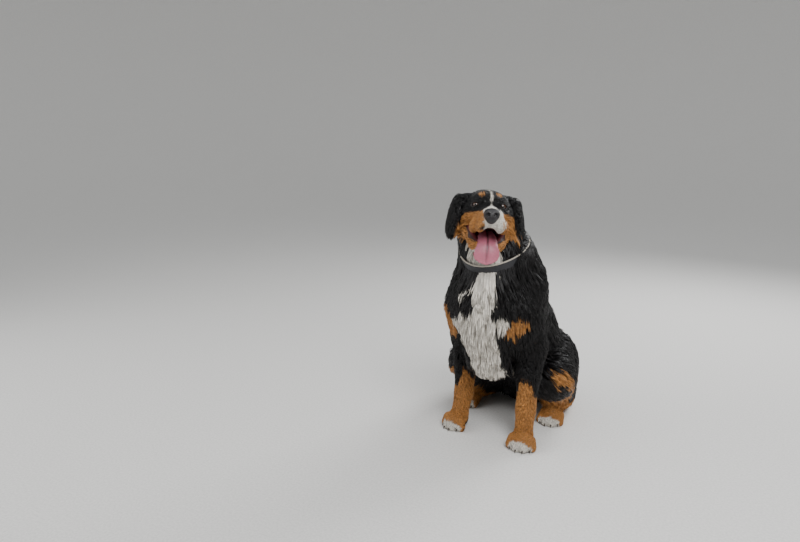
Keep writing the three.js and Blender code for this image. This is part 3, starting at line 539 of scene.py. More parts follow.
# Markings, as soft shapes that colour what lies inside them
def mark_white(f):
    f.bone((0, -140, 684), (10, -172, 636), 72, 46, blend=8)
    f.bone((24, -196, 636), (20, -200, 560), 22, 25, blend=8)
    f.bone((20, -200, 560), (14, -214, 500), 25, 19, blend=8)
    f.bone((2, -205, 556), (-44, -200, 532), 20, 5, blend=8)
    f.bone((-92, -182, 424), (-30, -205, 456), 24, 30, blend=10)
    f.bone((-30, -205, 456), (78, -194, 462), 30, 20, blend=10)
    f.bone((-6, -214, 430), (10, -165, 335), 64, 36, blend=12)
    f.bone((10, -165, 335), (18, -130, 230), 34, 34, blend=10)
    f.mass((68, -90, 284), (11, 22, 13), blend=6)
    f.frame = HEAD_FRAME
    f.bone((0, 14, 66), (3, -50, 50), 8.5, 4.5, blend=4)
    f.bone((3, -50, 50), (6, -80, 18), 4.5, 3, blend=2)
    f.bone((6, -82, 12), (6, -138, 4), 5, 24, blend=3)
    f.bone((6, -144, -8), (8, -148, -60), 30, 31, blend=6)
    f.bone((33, -104, -6), (36, -134, -56), 12, 13, blend=6)
    f.frame = JAW_FRAME
    f.mass((0, -116, -26), (38, 42, 24), blend=6)
    f.frame = WORLD
    for side in SIDES:
        for toe in (FORE_TOE[side], HIND_TOE[side]):
            f.mass((toe[0], toe[1] - 8, 8), (52, 36, 32), blend=8)
    f.bone(TAIL_PATH[3], TAIL_PATH[4], 20, 70, blend=8)


def mark_rust(f):
    f.mass((-134, -140, 416), (34, 58, 62), blend=8)
    f.mass((108, -168, 430), (34, 56, 36), blend=8)
    for side in SIDES:
        f.frame = HEAD_FRAME
        f.mass((side * 27 + 3, -48, 50), (11, 13, 10), blend=4)
        f.bone((side * 36, -140, -24), (side * 62, -40, -46), 28, 34, blend=8)
        f.bone((side * 28, -134, -52), (side * 44, -80, -58), 20, 20, blend=8)
        f.bone((side * 62, -40, -46), (side * 76, 2, -72), 34, 28, blend=8)
        f.frame = JAW_FRAME
        f.bone((side * 66, -20, -10), (side * 26, -124, -14), 34, 26, blend=8)
        f.frame = WORLD
        wrist, toe = np.array(WRIST[side], float), np.array(FORE_TOE[side], float)
        f.bone(wrist + (13 - side * 13, -10, 84), wrist + (0, 0, -20), 24, 46, blend=8)
        f.bone(wrist, toe, 46, 60, blend=8)
        hock = np.array(HOCK[side], float)
        f.bone((side * 196, 24, 182 + side * 26), (side * 206, 120, 158), 22, 26, blend=8)
        f.bone(hock + (side * 12, -150, 56), hock + (side * 16, -160, 10), 50, 60, blend=8)
        f.bone(hock, HIND_TOE[side], 40, 60, blend=8)


def mark_lips(f):
    f.frame = JAW_FRAME
    for side in SIDES:
        f.bone((side * 52, -10, 2), (side * 35, -92, -8), 22, 17, blend=6)
        f.bone((side * 35, -92, -8), (side * 12, -130, -6), 17, 13, blend=6)


WHITE_MARKS = Flesh(mark_white)
RUST_MARKS = Flesh(mark_rust)
LIPS = Flesh(mark_lips)


def ripple(points, size, seed):
    """Smooth noise from about -1 to 1 that repeats nowhere near."""
    random = np.random.default_rng(seed)
    ways = unit(random.normal(size=(7, 3))) * random.uniform(0.6, 1.6, (7, 1))
    phases = random.uniform(0, 2 * math.pi, 7)
    return np.sin(points @ ways.T * (2 * math.pi / size) + phases).sum(1) / 3


def tinted(base, colour, share):
    """A colour laid over another, fully where share is 1."""
    return base * (1 - share) + np.array(colour) * share


def tone_at(points, edge=5.0):
    """The coat's colour over each point of the skin. Two colours meet over edge millimetres."""
    far = np.linalg.norm(points - HEAD_FRAME[:3, 3], axis=1) > 190
    drift = np.where(far, 1.0, 0.35)
    rough = (5 * ripple(points, 46, 3) + 3 * ripple(points, 17, 4)) * drift
    rust = np.clip(0.5 - (RUST_MARKS.at(points)[0] + rough) / edge, 0, 1)[:, None]
    white = np.clip(0.5 - (WHITE_MARKS.at(points)[0] + rough * 0.8) / edge, 0, 1)[:, None]
    return tinted(tinted(np.array(BLACK), RUST, rust), WHITE, white)


# The skin
MOUTH_COLOUR = (0.20, 0.04, 0.05)
TONGUE_COLOUR = (0.56, 0.17, 0.24)
LIP_COLOUR = (0.016, 0.010, 0.010)
RIM_OVAL = (1.1, 1, 0.72)


def skin_grid(detail):
    x = grid_lines((-280, 8), (-135, 8), (-118, detail), (110, detail), (150, 6), (215, 6), (280, 8))
    y = grid_lines((-345, detail), (-80, detail), (-40, 6), (60, 8), (700, 9))
    z = grid_lines((-12, 4), (60, 4), (90, 8), (600, 8), (680, detail), (892, detail))
    return x, y, z


def in_mouth(points):
    """Distance to the opening between the jaws, negative inside it."""
    return np.minimum(MOUTH.at(points)[0], JAW_BED.at(points)[0])


def from_eye(points, side):
    """Distance from an eye's middle, measured along the oval of its rim."""
    local = apply(np.linalg.inv(HEAD_FRAME), points) - EYE[side]
    return np.linalg.norm(local / RIM_OVAL, axis=1)


def skin_tones(points):
    """Colour of the skin, dark on the lips and round the eyes and red inside the mouth."""
    colour = tone_at(points) * 0.8
    head = np.linalg.norm(points - HEAD_FRAME[:3, 3], axis=1) < 260
    near = points[head]
    inside, lip = in_mouth(near), LIPS.at(near)[0]
    layers = [
        (LIP_COLOUR, (3.0 - inside) / 3.0),
        (MOUTH_COLOUR, (-1.0 - inside) / 3.0),
        (LIP_COLOUR, -lip / 2),
        (MOUTH_COLOUR, (-2.5 - lip) / 3),
    ]
    layers += [(LIP_COLOUR, (17.5 - from_eye(near, side)) / 2.5) for side in SIDES]
    for tint, share in layers:
        colour[head] = tinted(colour[head], tint, np.clip(share, 0, 1)[:, None])
    return colour


# Tufts: their steps from root to tip, the width at each, and how far they swing, run on and fall
STEPS = 4
WIDTHS = np.array((0.75, 1.0, 0.9, 0.62, 0.0))
SWING = 0.25
FREE = 0.4
FALL = np.array((0, 0, -0.35))
# Painted shade and light along each tuft: its colour is darkened at the root, where the coat's depth shades it,
# and lightened towards the tip as a painted sheen
ROOT_PAINTED_SHADE, UPPER_PAINTED_LIGHT, TIP_PAINTED_SHEEN = 0.62, 1.1, 1.18
UV_HALF_WIDTH, UV_LENGTH = 0.0012, 0.003


class Tufts:
    """Many tufts grown together: their stations along the coat, widths, colours and roots."""

    def __init__(self, stations, across, out, width, colour, uv):
        self.stations, self.across, self.out = stations, across, out
        self.width, self.colour, self.uv = width, colour, uv

    def chosen(self, pick):
        kept = (self.stations, self.across, self.out, self.width, self.colour, self.uv)
        return Tufts(*(values[pick] for values in kept))


def grow(roots, normals, coat, length, rng):
    """Marches each tuft from its root along the lie of the coat, out to its share of the coat's depth."""
    share = rng.uniform(0.55, 1.0, len(roots))
    position = roots.copy()
    heading = normals * 0.6
    turn = rng.normal(0, SWING, len(roots))
    sink = FALL * FREE * np.clip(coat / 30, 0, 1)[:, None]
    stations, outs = [roots - normals * 1.5], [normals]
    for s in range(1, STEPS + 1):
        way = dog_at(position)[2]
        n = normals_at(position)
        flat = unit(way - n * (way * n).sum(1, keepdims=True))
        side = np.cross(n, flat)
        flat = unit(flat + side * (turn * (1 - 1.4 * s / STEPS))[:, None])
        heading = unit(flat * (1 - FREE) + unit(heading) * FREE + sink)
        position = position + heading * (length / STEPS)[:, None]
        d, local, _ = dog_at(position)
        n = normals_at(position)
        rise = math.sin(math.pi / 2 * min(1, s / STEPS * 1.25))
        excess = d - np.minimum(coat, local * 1.15 + 1) * share * rise
        position = position - n * np.where(excess < 0, excess, excess * 0.75)[:, None]
        stations.append(position.copy())
        outs.append(n)
    return np.stack(stations, 1), np.stack(outs, 1)


def nearest(points, centres):
    """The number of the nearest centre to each point."""
    tree = KDTree(len(centres))
    for i, c in enumerate(centres):
        tree.insert(c, i)
    tree.balance()
    return np.array([tree.find(p)[1] for p in points])


def clumped(stations, outs, coat, centres, strength, wave, rng):
    """Draws neighbouring tufts together towards their tips, and lets each lock of them wave."""
    owner = nearest(stations[:, 0], stations[centres, 0])
    leader = stations[centres][owner]
    share = np.linspace(0, 1, stations.shape[1])[None, :, None]
    offset = (stations[:, :1] - leader[:, :1]) * 0.3
    pull = strength * share**1.2
    drawn = stations * (1 - pull) + (leader + offset) * pull
    along = unit(np.gradient(drawn, axis=1))
    across = unit(np.cross(outs, along))
    phase = rng.uniform(0, 2 * math.pi, len(centres))[owner][:, None]
    size = (wave * coat * rng.uniform(0.4, 1.3, len(centres))[owner])[:, None]
    sway = size * np.sin(phase + share[:, :, 0] * 2 * math.pi * 1.15) * share[:, :, 0]
    return drawn + across * sway[:, :, None]


def tuft_frames(stations, outs, twist):
    """The way across each tuft and the way up from it, turned about the tuft by its twist."""
    along = unit(np.gradient(stations, axis=1))
    across = unit(np.cross(outs, along))
    up = np.cross(along, across)
    c, s = np.cos(twist)[:, None, None], np.sin(twist)[:, None, None]
    return across * c + up * s, up * c - across * s


def tuft_mesh(name, tufts, rings, material):
    """One mesh of many closed three-sided tufts, each ending in a point."""
    count = len(tufts.stations)
    picks = np.round(np.linspace(0, STEPS, rings + 1)).astype(int)
    middle = tufts.stations[:, picks]
    across, up = tufts.across[:, picks], tufts.out[:, picks]
    half = tufts.width[:, None] * WIDTHS[picks][None] / 2
    body, tip = middle[:, :-1], middle[:, -1:]
    a, u, h = across[:, :-1], up[:, :-1], half[:, :-1, None]
    ring = np.stack((body - a * h - u * h * 0.25, body + a * h - u * h * 0.25, body + u * h * 0.55), 2)
    vertices = np.concatenate((ring.reshape(count, rings * 3, 3), tip), 1)
    vertices[:, :, 2] = np.maximum(vertices[:, :, 2], 0.2)
    each = rings * 3 + 1
    faces = [(0, 2, 1)]
    for r in range(rings - 1):
        for i in range(3):
            p, q = r * 3 + i, r * 3 + (i + 1) % 3
            faces += [(p, q, q + 3), (p, q + 3, p + 3)]
    last = (rings - 1) * 3
    faces += [(last + i, last + (i + 1) % 3, each - 1) for i in range(3)]
    faces = (np.array(faces)[None] + (np.arange(count) * each)[:, None, None]).reshape(-1, 3)
    thing = new_object(name, vertices.reshape(-1, 3), faces, material)
    # Painted shading: rings near the root are darkened as painted shade, and the upper rings and the tip are
    # lightened as painted sheen
    painted_shading = np.append(np.repeat(np.linspace(ROOT_PAINTED_SHADE, UPPER_PAINTED_LIGHT, rings), 3), TIP_PAINTED_SHEEN)
    paint(thing, (tufts.colour[:, None] * painted_shading[None, :, None]).reshape(-1, 3))
    level = np.append(np.repeat(np.arange(rings) / rings, 3), 1.0) * UV_LENGTH
    aside = np.append(np.tile((-UV_HALF_WIDTH, UV_HALF_WIDTH, 0.0), rings), 0.0)
    uv = (tufts.uv[:, None] + np.stack((aside, level), -1)[None]).reshape(-1, 2)
    layer = thing.data.uv_layers.new(name="OFBake")
    layer.data.foreach_set("uv", np.clip(uv[faces.ravel()], 0, 1).astype(np.float32).ravel())
    return thing


# Collar
COLLAR_MIDDLE = np.array((-2.0, -83.0, 671.0))
COLLAR_UP = unit((-0.02, -0.4, 0.916))
COLLAR_LEFT = unit(np.array((1, 0, 0)) - COLLAR_UP * COLLAR_UP[0])
COLLAR_BACK = np.cross(COLLAR_UP, COLLAR_LEFT)
COLLAR_STEPS = 160


def neck_edge(turns):
    """Where the neck's core is met, out from the collar's middle, and the way out."""
    out = np.cos(turns)[:, None] * COLLAR_LEFT + np.sin(turns)[:, None] * COLLAR_BACK
    near, far = np.full(len(turns), 20.0), np.full(len(turns), 220.0)
    for _ in range(18):
        middle = (near + far) / 2
        d, coat, _ = TRUNK.at(COLLAR_MIDDLE + out * middle[:, None])
        inside = d - CORE_SHARE * coat < 0
        near, far = np.where(inside, middle, near), np.where(inside, far, middle)
    return COLLAR_MIDDLE + out * near[:, None], out


def collar_hoop(name, section, material):
    """A hoop round the neck from a section: how far out, and how far up the neck."""
    edge, out = neck_edge(circle(COLLAR_STEPS))
    section = np.array(section)
    rings = edge[:, None] + out[:, None] * section[None, :, :1] + COLLAR_UP * section[None, :, 1:]
    return tube(name, rings, material)


def tube(name, rings, material, closed=True):
    """A surface through rings of points, closed on itself or open at both ends."""
    count, sides = rings.shape[:2]
    faces = []
    for r in range(count if closed else count - 1):
        for i in range(sides):
            a, b = r * sides + i, r * sides + (i + 1) % sides
            c, d = (r + 1) % count * sides + i, (r + 1) % count * sides + (i + 1) % sides
            faces.append((a, c, d, b))
    return new_object(name, rings.reshape(-1, 3), faces, material)


def rounded_band(width, thick, corner):
    """The outline of a strap's section, standing on the neck's core."""
    points = []
    for cx, cy, start in ((1, 1, 0), (-1, 1, 90), (-1, -1, 180), (1, -1, 270)):
        for step in range(4):
            turn = math.radians(start + step * 30)
            x = cx * (thick / 2 - corner) + corner * math.cos(turn)
            y = cy * (width / 2 - corner) + corner * math.sin(turn)
            points.append((x + thick * 0.1, y))
    return points


# Tongue, teeth and claws. The tongue's rows are middle, half width, thickness and how far it cups.
TONGUE_ROWS, TONGUE_SIDES = 60, 64
TONGUE = (
    ((0, -34, -66), 22, 12, 0.1),
    ((0, -72, -76), 29, 12, 0.15),
    ((0, -102, -90), 31, 11, 0.2),
    ((-1, -124, -106), 34, 10, 0.16),
    ((-2, -133, -128), 40, 9, 0.12),
    ((-3, -134, -148), 37, 8, 0.1),
    ((-3, -132, -160), 22, 6, 0.05),
    ((-3, -130, -166), 3, 2, 0.0),
)


def smooth_rows(rows, count):
    """Rows of numbers resampled along a smooth curve through them."""
    rows = np.asarray(rows, float)
    padded = np.vstack((2 * rows[0] - rows[1], rows, 2 * rows[-1] - rows[-2]))
    t = np.linspace(0, len(rows) - 1 - 1e-9, count)
    i = t.astype(int)
    f = (t - i)[:, None]
    a, b, c, d = (padded[i + k] for k in range(4))
    return 0.5 * (2 * b + (c - a) * f + (2 * a - 5 * b + 4 * c - d) * f**2 + (3 * b - a - 3 * c + d) * f**3)


def tongue_rings():
    rows = smooth_rows([(*at, half, thick, cup) for at, half, thick, cup in TONGUE], TONGUE_ROWS)
    at, half, thick, cup = rows[:, :3], rows[:, 3], rows[:, 4], rows[:, 5]
    along = unit(np.gradient(at, axis=0))
    across = np.array((1.0, 0, 0))
    up = -np.cross(along, across)
    turn = circle(TONGUE_SIDES)
    side = np.cos(turn)[None]
    groove = np.where(np.sin(turn) < 0, 0.6 * np.exp(-((np.cos(turn) / 0.11) ** 2)), 0)[None]
    lift = np.sin(turn)[None] * thick[:, None] / 2 * (1 - groove) + cup[:, None] * half[:, None] * side**2
    reach = side * half[:, None] * (1 + 0.02 * np.sin(np.arange(TONGUE_ROWS) * 0.9)[:, None])
    rings = at[:, None] + across * reach[:, :, None] + up[:, None] * lift[:, :, None]
    return apply(HEAD_FRAME, rings.reshape(-1, 3)).reshape(rings.shape)


def spike_rings(base, tip, radius, bow=(0, 0, 0), sides=10, count=7):
    base, tip, bow = (np.array(v, float) for v in (base, tip, bow))
    along = tip - base
    aside = unit(np.cross((along[2], along[0], along[1]), along))
    other = unit(np.cross(along, aside))
    t = np.linspace(0, 1, count)[:, None, None]
    turn = circle(sides)[None, :, None]
    r = radius * np.sqrt(np.clip(1 - t**2, 0.0004, 1)) * (1 - 0.45 * t)
    return base + along * t + bow * 4 * t * (1 - t) + r * (aside * np.cos(turn) + other * np.sin(turn))


def spikes(name, shapes, material):
    """One object from many curved cones, open where they are rooted."""
    vertices, faces = [], []
    for rings in shapes:
        start = sum(len(v) for v in vertices)
        count, sides = rings.shape[:2]
        vertices.append(rings.reshape(-1, 3))
        for r in range(count - 1):
            for i in range(sides):
                a, b = r * sides + i, r * sides + (i + 1) % sides
                faces.append((start + a, start + b, start + b + sides, start + a + sides))
    return new_object(name, np.concatenate(vertices), faces, material)


def teeth_shapes():
    shapes = []
    for side in SIDES:
        canine = apply(JAW_FRAME, [(side * 18, -126, -4), (side * 20, -129, 10)])
        shapes.append(spike_rings(*canine, 5.5))
        for x in (3.5, 10):
            pair = apply(JAW_FRAME, [(side * x, -137 + x * 0.3, -2), (side * x, -139 + x * 0.3, 9)])
            shapes.append(spike_rings(*pair, 3))
        upper = apply(HEAD_FRAME, [(side * 21, -136, -44), (side * 22, -138, -62)])
        shapes.append(spike_rings(*upper, 6))
    return shapes


def claw_shapes():
    shapes = []
    for side in SIDES:
        feet = ((FORE_TOE[side], WRIST[side], FORE_FOOT), (HIND_TOE[side], HOCK[side], HIND_FOOT))
        for toe, heel, (spread, radius, _) in feet:
            ahead, _ = toe_frame(toe, heel)
            for place in TOE_PLACES:
                tip, _ = toe_tip(toe, heel, place, spread, radius)
                root = tip + ahead * (radius - 6)
                root[2] = radius + 1
                end = root + ahead * 15
                end[2] = 3
                shapes.append(spike_rings(root, end, 4, (0, 0, 2)))
    return shapes


# Materials
def preset(node, **values):
    """Sets a node's sockets, each named with _ for a space."""
    for key, value in values.items():
        node.inputs[key.replace("_", " ")].default_value = value


def shader(name, colour=None, roughness=0.5, attribute=None, bump=None, **settings):
    """A Principled material. bump is (texture, scale, strength); colour may come from an attribute."""
    material = bpy.data.materials.new(name)
    material.use_nodes = True
    nodes, links = material.node_tree.nodes, material.node_tree.links
    surface = nodes["Principled BSDF"]
    preset(surface, Roughness=roughness, **settings)
    place = nodes.new("ShaderNodeTexCoord")
    speck = nodes.new("ShaderNodeTexNoise")
    preset(speck, Scale=140, Detail=3)
    links.new(place.outputs["Object"], speck.inputs["Vector"])
    vary = nodes.new("ShaderNodeMapRange")
    preset(vary, To_Min=0.78, To_Max=1.2)
    links.new(speck.outputs["Fac"], vary.inputs["Value"])
    scale = nodes.new("ShaderNodeVectorMath")
    scale.operation = "SCALE"
    links.new(vary.outputs["Result"], scale.inputs["Scale"])
    if attribute:
        source = nodes.new("ShaderNodeAttribute")
        source.attribute_name = attribute
        links.new(source.outputs["Color"], scale.inputs[0])
    else:
        scale.inputs[0].default_value = colour
    links.new(scale.outputs["Vector"], surface.inputs["Base Color"])
    if bump:
        kind, size, strength = bump
        texture = nodes.new(kind)
        preset(texture, Scale=size)
        links.new(place.outputs["Object"], texture.inputs["Vector"])
        relief = nodes.new("ShaderNodeBump")
        preset(relief, Strength=strength, Distance=0.001)
        links.new(texture.outputs[0], relief.inputs["Height"])
        links.new(relief.outputs["Normal"], surface.inputs["Normal"])
    return material


FLESH_NODES = ["head", "lower_jaw", "neck", "chest", "torso", "rump", "tail_root", "tail_tip"] + [
    f"{part}_{side}" for part in ("ear", "foreleg", "forepaw", "thigh", "hindpaw") for side in ("left", "right")
]


class DogCoatSettings(bpy.types.PropertyGroup):
    """How the coat grows"""

    long_tufts: IntProperty(
        name="Long tufts", description="Tufts of the long body coat", default=58000, min=1000
    )
    short_tufts: IntProperty(
        name="Short tufts", description="Tufts of the head, legs and feet", default=52000, min=1000
    )
    curl: FloatProperty(
        name="Curl",
        description="Sideways wave of a lock, as a share of the coat's depth",
        default=0.12,
        min=0,
        max=0.5,
        subtype="FACTOR",
    )
    seed: IntProperty(name="Seed", description="Start of the random draws", default=20917)


class DogSkinSettings(bpy.types.PropertyGroup):
    """How finely the skin is meshed"""

    detail: FloatProperty(
        name="Detail", description="Cell of the skin on the head, in millimetres", default=2.6, min=1.5, max=8
    )


class DogStageSettings(bpy.types.PropertyGroup):
    """The camera and the floor"""

    lens: FloatProperty(
        name="Lens",
        description="Focal length of the camera",
        default=28,
        min=10,
        max=200,
        subtype="DISTANCE_CAMERA",
    )
    height: FloatProperty(
        name="Height", description="Height of the camera above the floor", default=1.002, unit="LENGTH"
    )
    distance: FloatProperty(
        name="Distance", description="From the camera to the dog, along the floor", default=2.12, unit="LENGTH"
    )


class DOG_OT_skin(bpy.types.Operator):
    """Mesh one skin for the whole dog"""

    bl_idname = "dog.skin"
    bl_label = "Skin"

    def execute(self, context):
        detail = context.scene.dog_skin.detail
        vertices, quads = dual_mesh(lambda p: dog_at(p)[0], skin_grid(detail))
        normal = normals_at(vertices, step=1.0)
        vertices = vertices - normal * np.clip(dog_at(vertices)[0], -1.5, 1.5)[:, None]
        vertices[:, 2] = np.maximum(vertices[:, 2], 0.3)
        material = shader("DogSkin", roughness=0.5, attribute="Tone", bump=("ShaderNodeTexNoise", 500, 0.4))
        skin = new_object("skin", vertices, quads, material)
        paint(skin, skin_tones(vertices))
        context.view_layer.objects.active = skin
        skin.select_set(True)
        bpy.ops.object.mode_set(mode="EDIT")
        bpy.ops.mesh.select_all(action="SELECT")
        bpy.ops.uv.smart_project(angle_limit=math.radians(66), island_margin=0.001)
        bpy.ops.object.mode_set(mode="OBJECT")
        skin.data.uv_layers[0].name = "OFBake"
        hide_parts(*FLESH_NODES)
        return {"FINISHED"}


NOSE_MIDDLE = (0, -162, -14)
NOSE_HALF = (24, 19, 26)


def bare(points):
    """Whether the skin is bare there: on the lips, in the mouth, on the nose and round the eyes."""
    local = apply(np.linalg.inv(HEAD_FRAME), points)
    naked = (in_mouth(points) < 3.5) | (LIPS.at(points)[0] < -1)
    naked |= np.linalg.norm((local - NOSE_MIDDLE) / NOSE_HALF, axis=1) < 1
    for side in SIDES:
        naked |= from_eye(points, side) < 17
    return naked


def values_of(items, key, each, kind=np.float32):
    """The values that a mesh's vertices, loops or layer hold, one after another."""
    values = np.zeros(len(items) * each, kind)
    items.foreach_get(key, values)
    return values


# Depth of coat where the short hair ends and where the long hair begins
SHORT_TO, LONG_FROM = 18, 12
COAT_FADE = SHORT_TO - LONG_FROM
MOST_TRIANGLES = 190000


class DOG_OT_coat(bpy.types.Operator):
    """Grow the coat on the skin, long on the body and short on the head and feet"""

    bl_idname = "dog.coat"
    bl_label = "Coat"

    def execute(self, context):
        settings = context.scene.dog_coat
        rng = np.random.default_rng(settings.seed)
        skin = bpy.data.objects["skin"].data
        points = values_of(skin.vertices, "co", 3).reshape(-1, 3).astype(float) * 1000 - SHIFT
        quads = values_of(skin.loops, "vertex_index", 1, np.int32).reshape(-1, 4)
        uv = values_of(skin.uv_layers["OFBake"].data, "uv", 2).reshape(-1, 4, 2)
        corners = np.concatenate((quads[:, [0, 1, 2]], quads[:, [0, 2, 3]]))
        places = np.concatenate((uv[:, [0, 1, 2]], uv[:, [0, 2, 3]]))
        a, b, c = (points[corners[:, i]] for i in range(3))
        area = np.linalg.norm(np.cross(b - a, c - a), axis=1) / 2
        _, coat, _ = dog_at((a + b + c) / 3)
        relief = ("ShaderNodeTexNoise", 900, 0.25)
        material = shader("DogCoat", roughness=0.42, attribute="Tone", bump=relief, Specular_IOR_Level=0.4)
        long_share = area * np.clip((coat - LONG_FROM) / COAT_FADE, 0, 1)
        short_share = area * np.clip((SHORT_TO - coat) / COAT_FADE, 0, 1) / np.clip(coat / 8, 0.35, 1.5)
        kinds = (
            ("long", settings.long_tufts, long_share, 3),
            ("short", settings.short_tufts, short_share, 2),
        )
        for name, wanted, weight, rings in kinds:
            picks = rng.choice(len(area), wanted, p=weight / weight.sum())
            s, t = rng.uniform(0, 1, wanted), rng.uniform(0, 1, wanted)
            s, t = np.where(s + t > 1, 1 - s, s)[:, None], np.where(s + t > 1, 1 - t, t)[:, None]
            roots = a[picks] + (b[picks] - a[picks]) * s + (c[picks] - a[picks]) * t
            spot = places[picks]
            where = spot[:, 0] + (spot[:, 1] - spot[:, 0]) * s + (spot[:, 2] - spot[:, 0]) * t
            keep = ~bare(roots) & (roots[:, 2] > 1.5)
            roots, where = roots[keep], where[keep]
            tufts = self.tufts(roots, where, name == "long", settings.curl, rng)
            limit = MOST_TRIANGLES // (6 * (rings - 1) + 4)
            order = np.argsort(tufts.stations[:, 0, 1] + tufts.stations[:, 0, 2])
            parts = math.ceil(len(order) / limit)
            for i, pick in enumerate(np.array_split(order, parts)):
                piece = tuft_mesh(f"coat_{name}_{i + 1}", tufts.chosen(pick), rings, material)
        return {"FINISHED"}

    def tufts(self, roots, where, is_long, curl, rng):
        normals = normals_at(roots)
        _, coat, _ = dog_at(roots)
        spread = rng.uniform(0.8, 1.2, len(roots))
        if is_long:
            length, width = coat * 2.5 * spread, np.clip(coat * 0.17, 3, 6.5) * spread
        else:
            length, width = (4 + coat * 1.65) * spread, (1.1 + coat * 0.17) * spread
        in_lock, pull, wave = (9, 0.72, curl) if is_long else (6, 0.3, 0.05)
        stations, outs = grow(roots, normals, coat, length, rng)
        centres = rng.choice(len(roots), max(1, int(len(roots) / in_lock)), replace=False)
        stations = clear_of_collar(clumped(stations, outs, coat, centres, pull, wave, rng))
        stations[:, :, 2] = np.maximum(stations[:, :, 2], 1.0)
        across, out = tuft_frames(stations, outs, rng.normal(0, 0.35, len(roots)))
        seen = stations[:, 2] if is_long else roots
        seen = seen - outs[:, 2] * dog_at(seen)[0][:, None]
        colour = tone_at(seen, 3.0) * rng.uniform(0.72, 1.3, (len(roots), 1))
        return Tufts(stations, across, out, width, colour, where)


# The way from the neck in which the collar shows most
COLLAR_YAW = math.radians(11)
COLLAR_SHOWS = unit((math.sin(COLLAR_YAW), -math.cos(COLLAR_YAW), 0))


def clear_of_collar(stations):
    """Presses the hair to the neck where the collar shows, and lifts it over the band elsewhere."""
    flat = stations.reshape(-1, 3)
    rise = np.abs((flat - COLLAR_MIDDLE) @ COLLAR_UP) - COLLAR_WIDTH / 2
    close = (rise < 50) & (np.linalg.norm(flat - COLLAR_MIDDLE, axis=1) < 200)
    points, rise = flat[close], rise[close]
    first = (np.arange(len(flat)) % stations.shape[1] == 0)[close]
    shown = np.clip((unit((points - COLLAR_MIDDLE) * (1, 1, 0)) @ COLLAR_SHOWS - 0.62) / 0.2, 0, 1)
    d, coat, _ = dog_at(points)
    on_neck = TRUNK.at(points)[0] < d + 2
    free = np.clip((rise - 4) / 42, 0, 1)
    most = coat * (CORE_SHARE * 0.8 * (1 - free) + free)
    press = np.clip(d - most, 0, None) * shown
    least = (CORE_SHARE * coat + 9) * (1 - shown) * np.clip(1 - rise / 20, 0, 1)
    lift = np.where(first, 0, np.clip(least - d, 0, None))
    flat[close] += normals_at(points) * ((lift - press) * on_neck)[:, None]
    return flat.reshape(stations.shape)


# An eye's mesh and its colours, which change at angles from its front, in degrees
EYE_ROWS, EYE_SIDES = 33, 40
PUPIL_EDGE, IRIS_EDGE, WHITE_EDGE = 19, 46, 54
IRIS_COLOUR = (0.075, 0.026, 0.009)
EYE_WHITE = (0.10, 0.062, 0.05)


class DOG_OT_eyes(bpy.types.Operator):
    """Make both eyes, with a dark iris and a clear bulging front"""

    bl_idname = "dog.eyes"
    bl_label = "Eyes"

    def execute(self, context):
        material = shader("DogEye", roughness=0.06, attribute="Tone", Coat_Weight=1.0, Coat_Roughness=0.02)
        for side, name in ((1, "eye_left"), (-1, "eye_right")):
            look = unit((side * 0.28, -1, -0.04))
            turn = np.linspace(0, math.pi, EYE_ROWS)[:, None]
            around = circle(EYE_SIDES)[None]
            aside = unit(np.cross(look, (0, 0, 1)))
            up = np.cross(aside, look)
            swell = 1 + 0.05 * np.exp(-((turn / 0.6) ** 2))
            ring = np.cos(around)[..., None] * aside + np.sin(around)[..., None] * up
            ball = np.cos(turn)[..., None] * look + np.sin(turn)[..., None] * ring
            ball = ball * swell[..., None] * EYE_RADIUS
            rings = apply(HEAD_FRAME, (ball + EYE[side]).reshape(-1, 3)).reshape(ball.shape)
            eye = tube("iris_" + name, rings, material, closed=False)
            angle = np.repeat(np.degrees(turn[:, 0]), EYE_SIDES)[:, None]
            streak = 0.8 + 0.4 * np.random.default_rng(5).uniform(size=EYE_SIDES)
            iris = np.array(IRIS_COLOUR) * np.tile(streak, EYE_ROWS)[:, None]
            tone = np.where(angle < PUPIL_EDGE, 0.002, iris)
            tone = np.where((angle > IRIS_EDGE) & (angle <= WHITE_EDGE), 0.008, tone)
            tone = np.where(angle > WHITE_EDGE, EYE_WHITE, tone)
            paint(eye, tone)
            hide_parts(name)
        return {"FINISHED"}


# The nose's cell and the span of its grid along each axis of the head
NOSE_CELL = 1.4
NOSE_SPANS = ((-42, 42), (-192, -130), (-50, 24))


class DOG_OT_mouth(bpy.types.Operator):
    """Make the nose, the tongue and the teeth"""

    bl_idname = "dog.mouth"
    bl_label = "Nose and mouth"

    def execute(self, context):
        level = Flesh(add_nose)
        cells = [grid_lines((low, NOSE_CELL), (high, NOSE_CELL)) for low, high in NOSE_SPANS]
        vertices, quads = dual_mesh(lambda p: level.at(p)[0], cells, HEAD_FRAME)
        wet = shader("NoseSkin", (0.012, 0.010, 0.012), 0.3, bump=("ShaderNodeTexVoronoi", 520, 0.7))
        nose = new_object("nose_skin", vertices, quads, wet)
        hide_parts("nose")
        relief = ("ShaderNodeTexNoise", 420, 0.5)
        pink = shader("Tongue", roughness=0.42, attribute="Tone", bump=relief, Subsurface_Weight=0.08)
        tongue = tube("tongue_skin", tongue_rings(), pink, closed=False)
        turn = circle(TONGUE_SIDES)
        # Painted shade on the tongue: a dark line along its crease, and the whole tongue darker towards its
        # root inside the mouth
        crease = np.where(np.sin(turn) < 0, np.exp(-((np.cos(turn) / 0.1) ** 2)), 0)
        fade = np.clip(np.linspace(1.9, -0.1, TONGUE_ROWS), 0, 1)[:, None]
        painted_shading = (1 - 0.75 * crease[None] * fade) * (1 - 0.35 * fade)
        paint(tongue, (np.array(TONGUE_COLOUR) * painted_shading[:, :, None]).reshape(-1, 3))
        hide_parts("tongue")
        ivory = shader("Tooth", (0.72, 0.66, 0.52), 0.25, bump=("ShaderNodeTexNoise", 300, 0.1))
        spikes("teeth", teeth_shapes(), ivory)
        return {"FINISHED"}


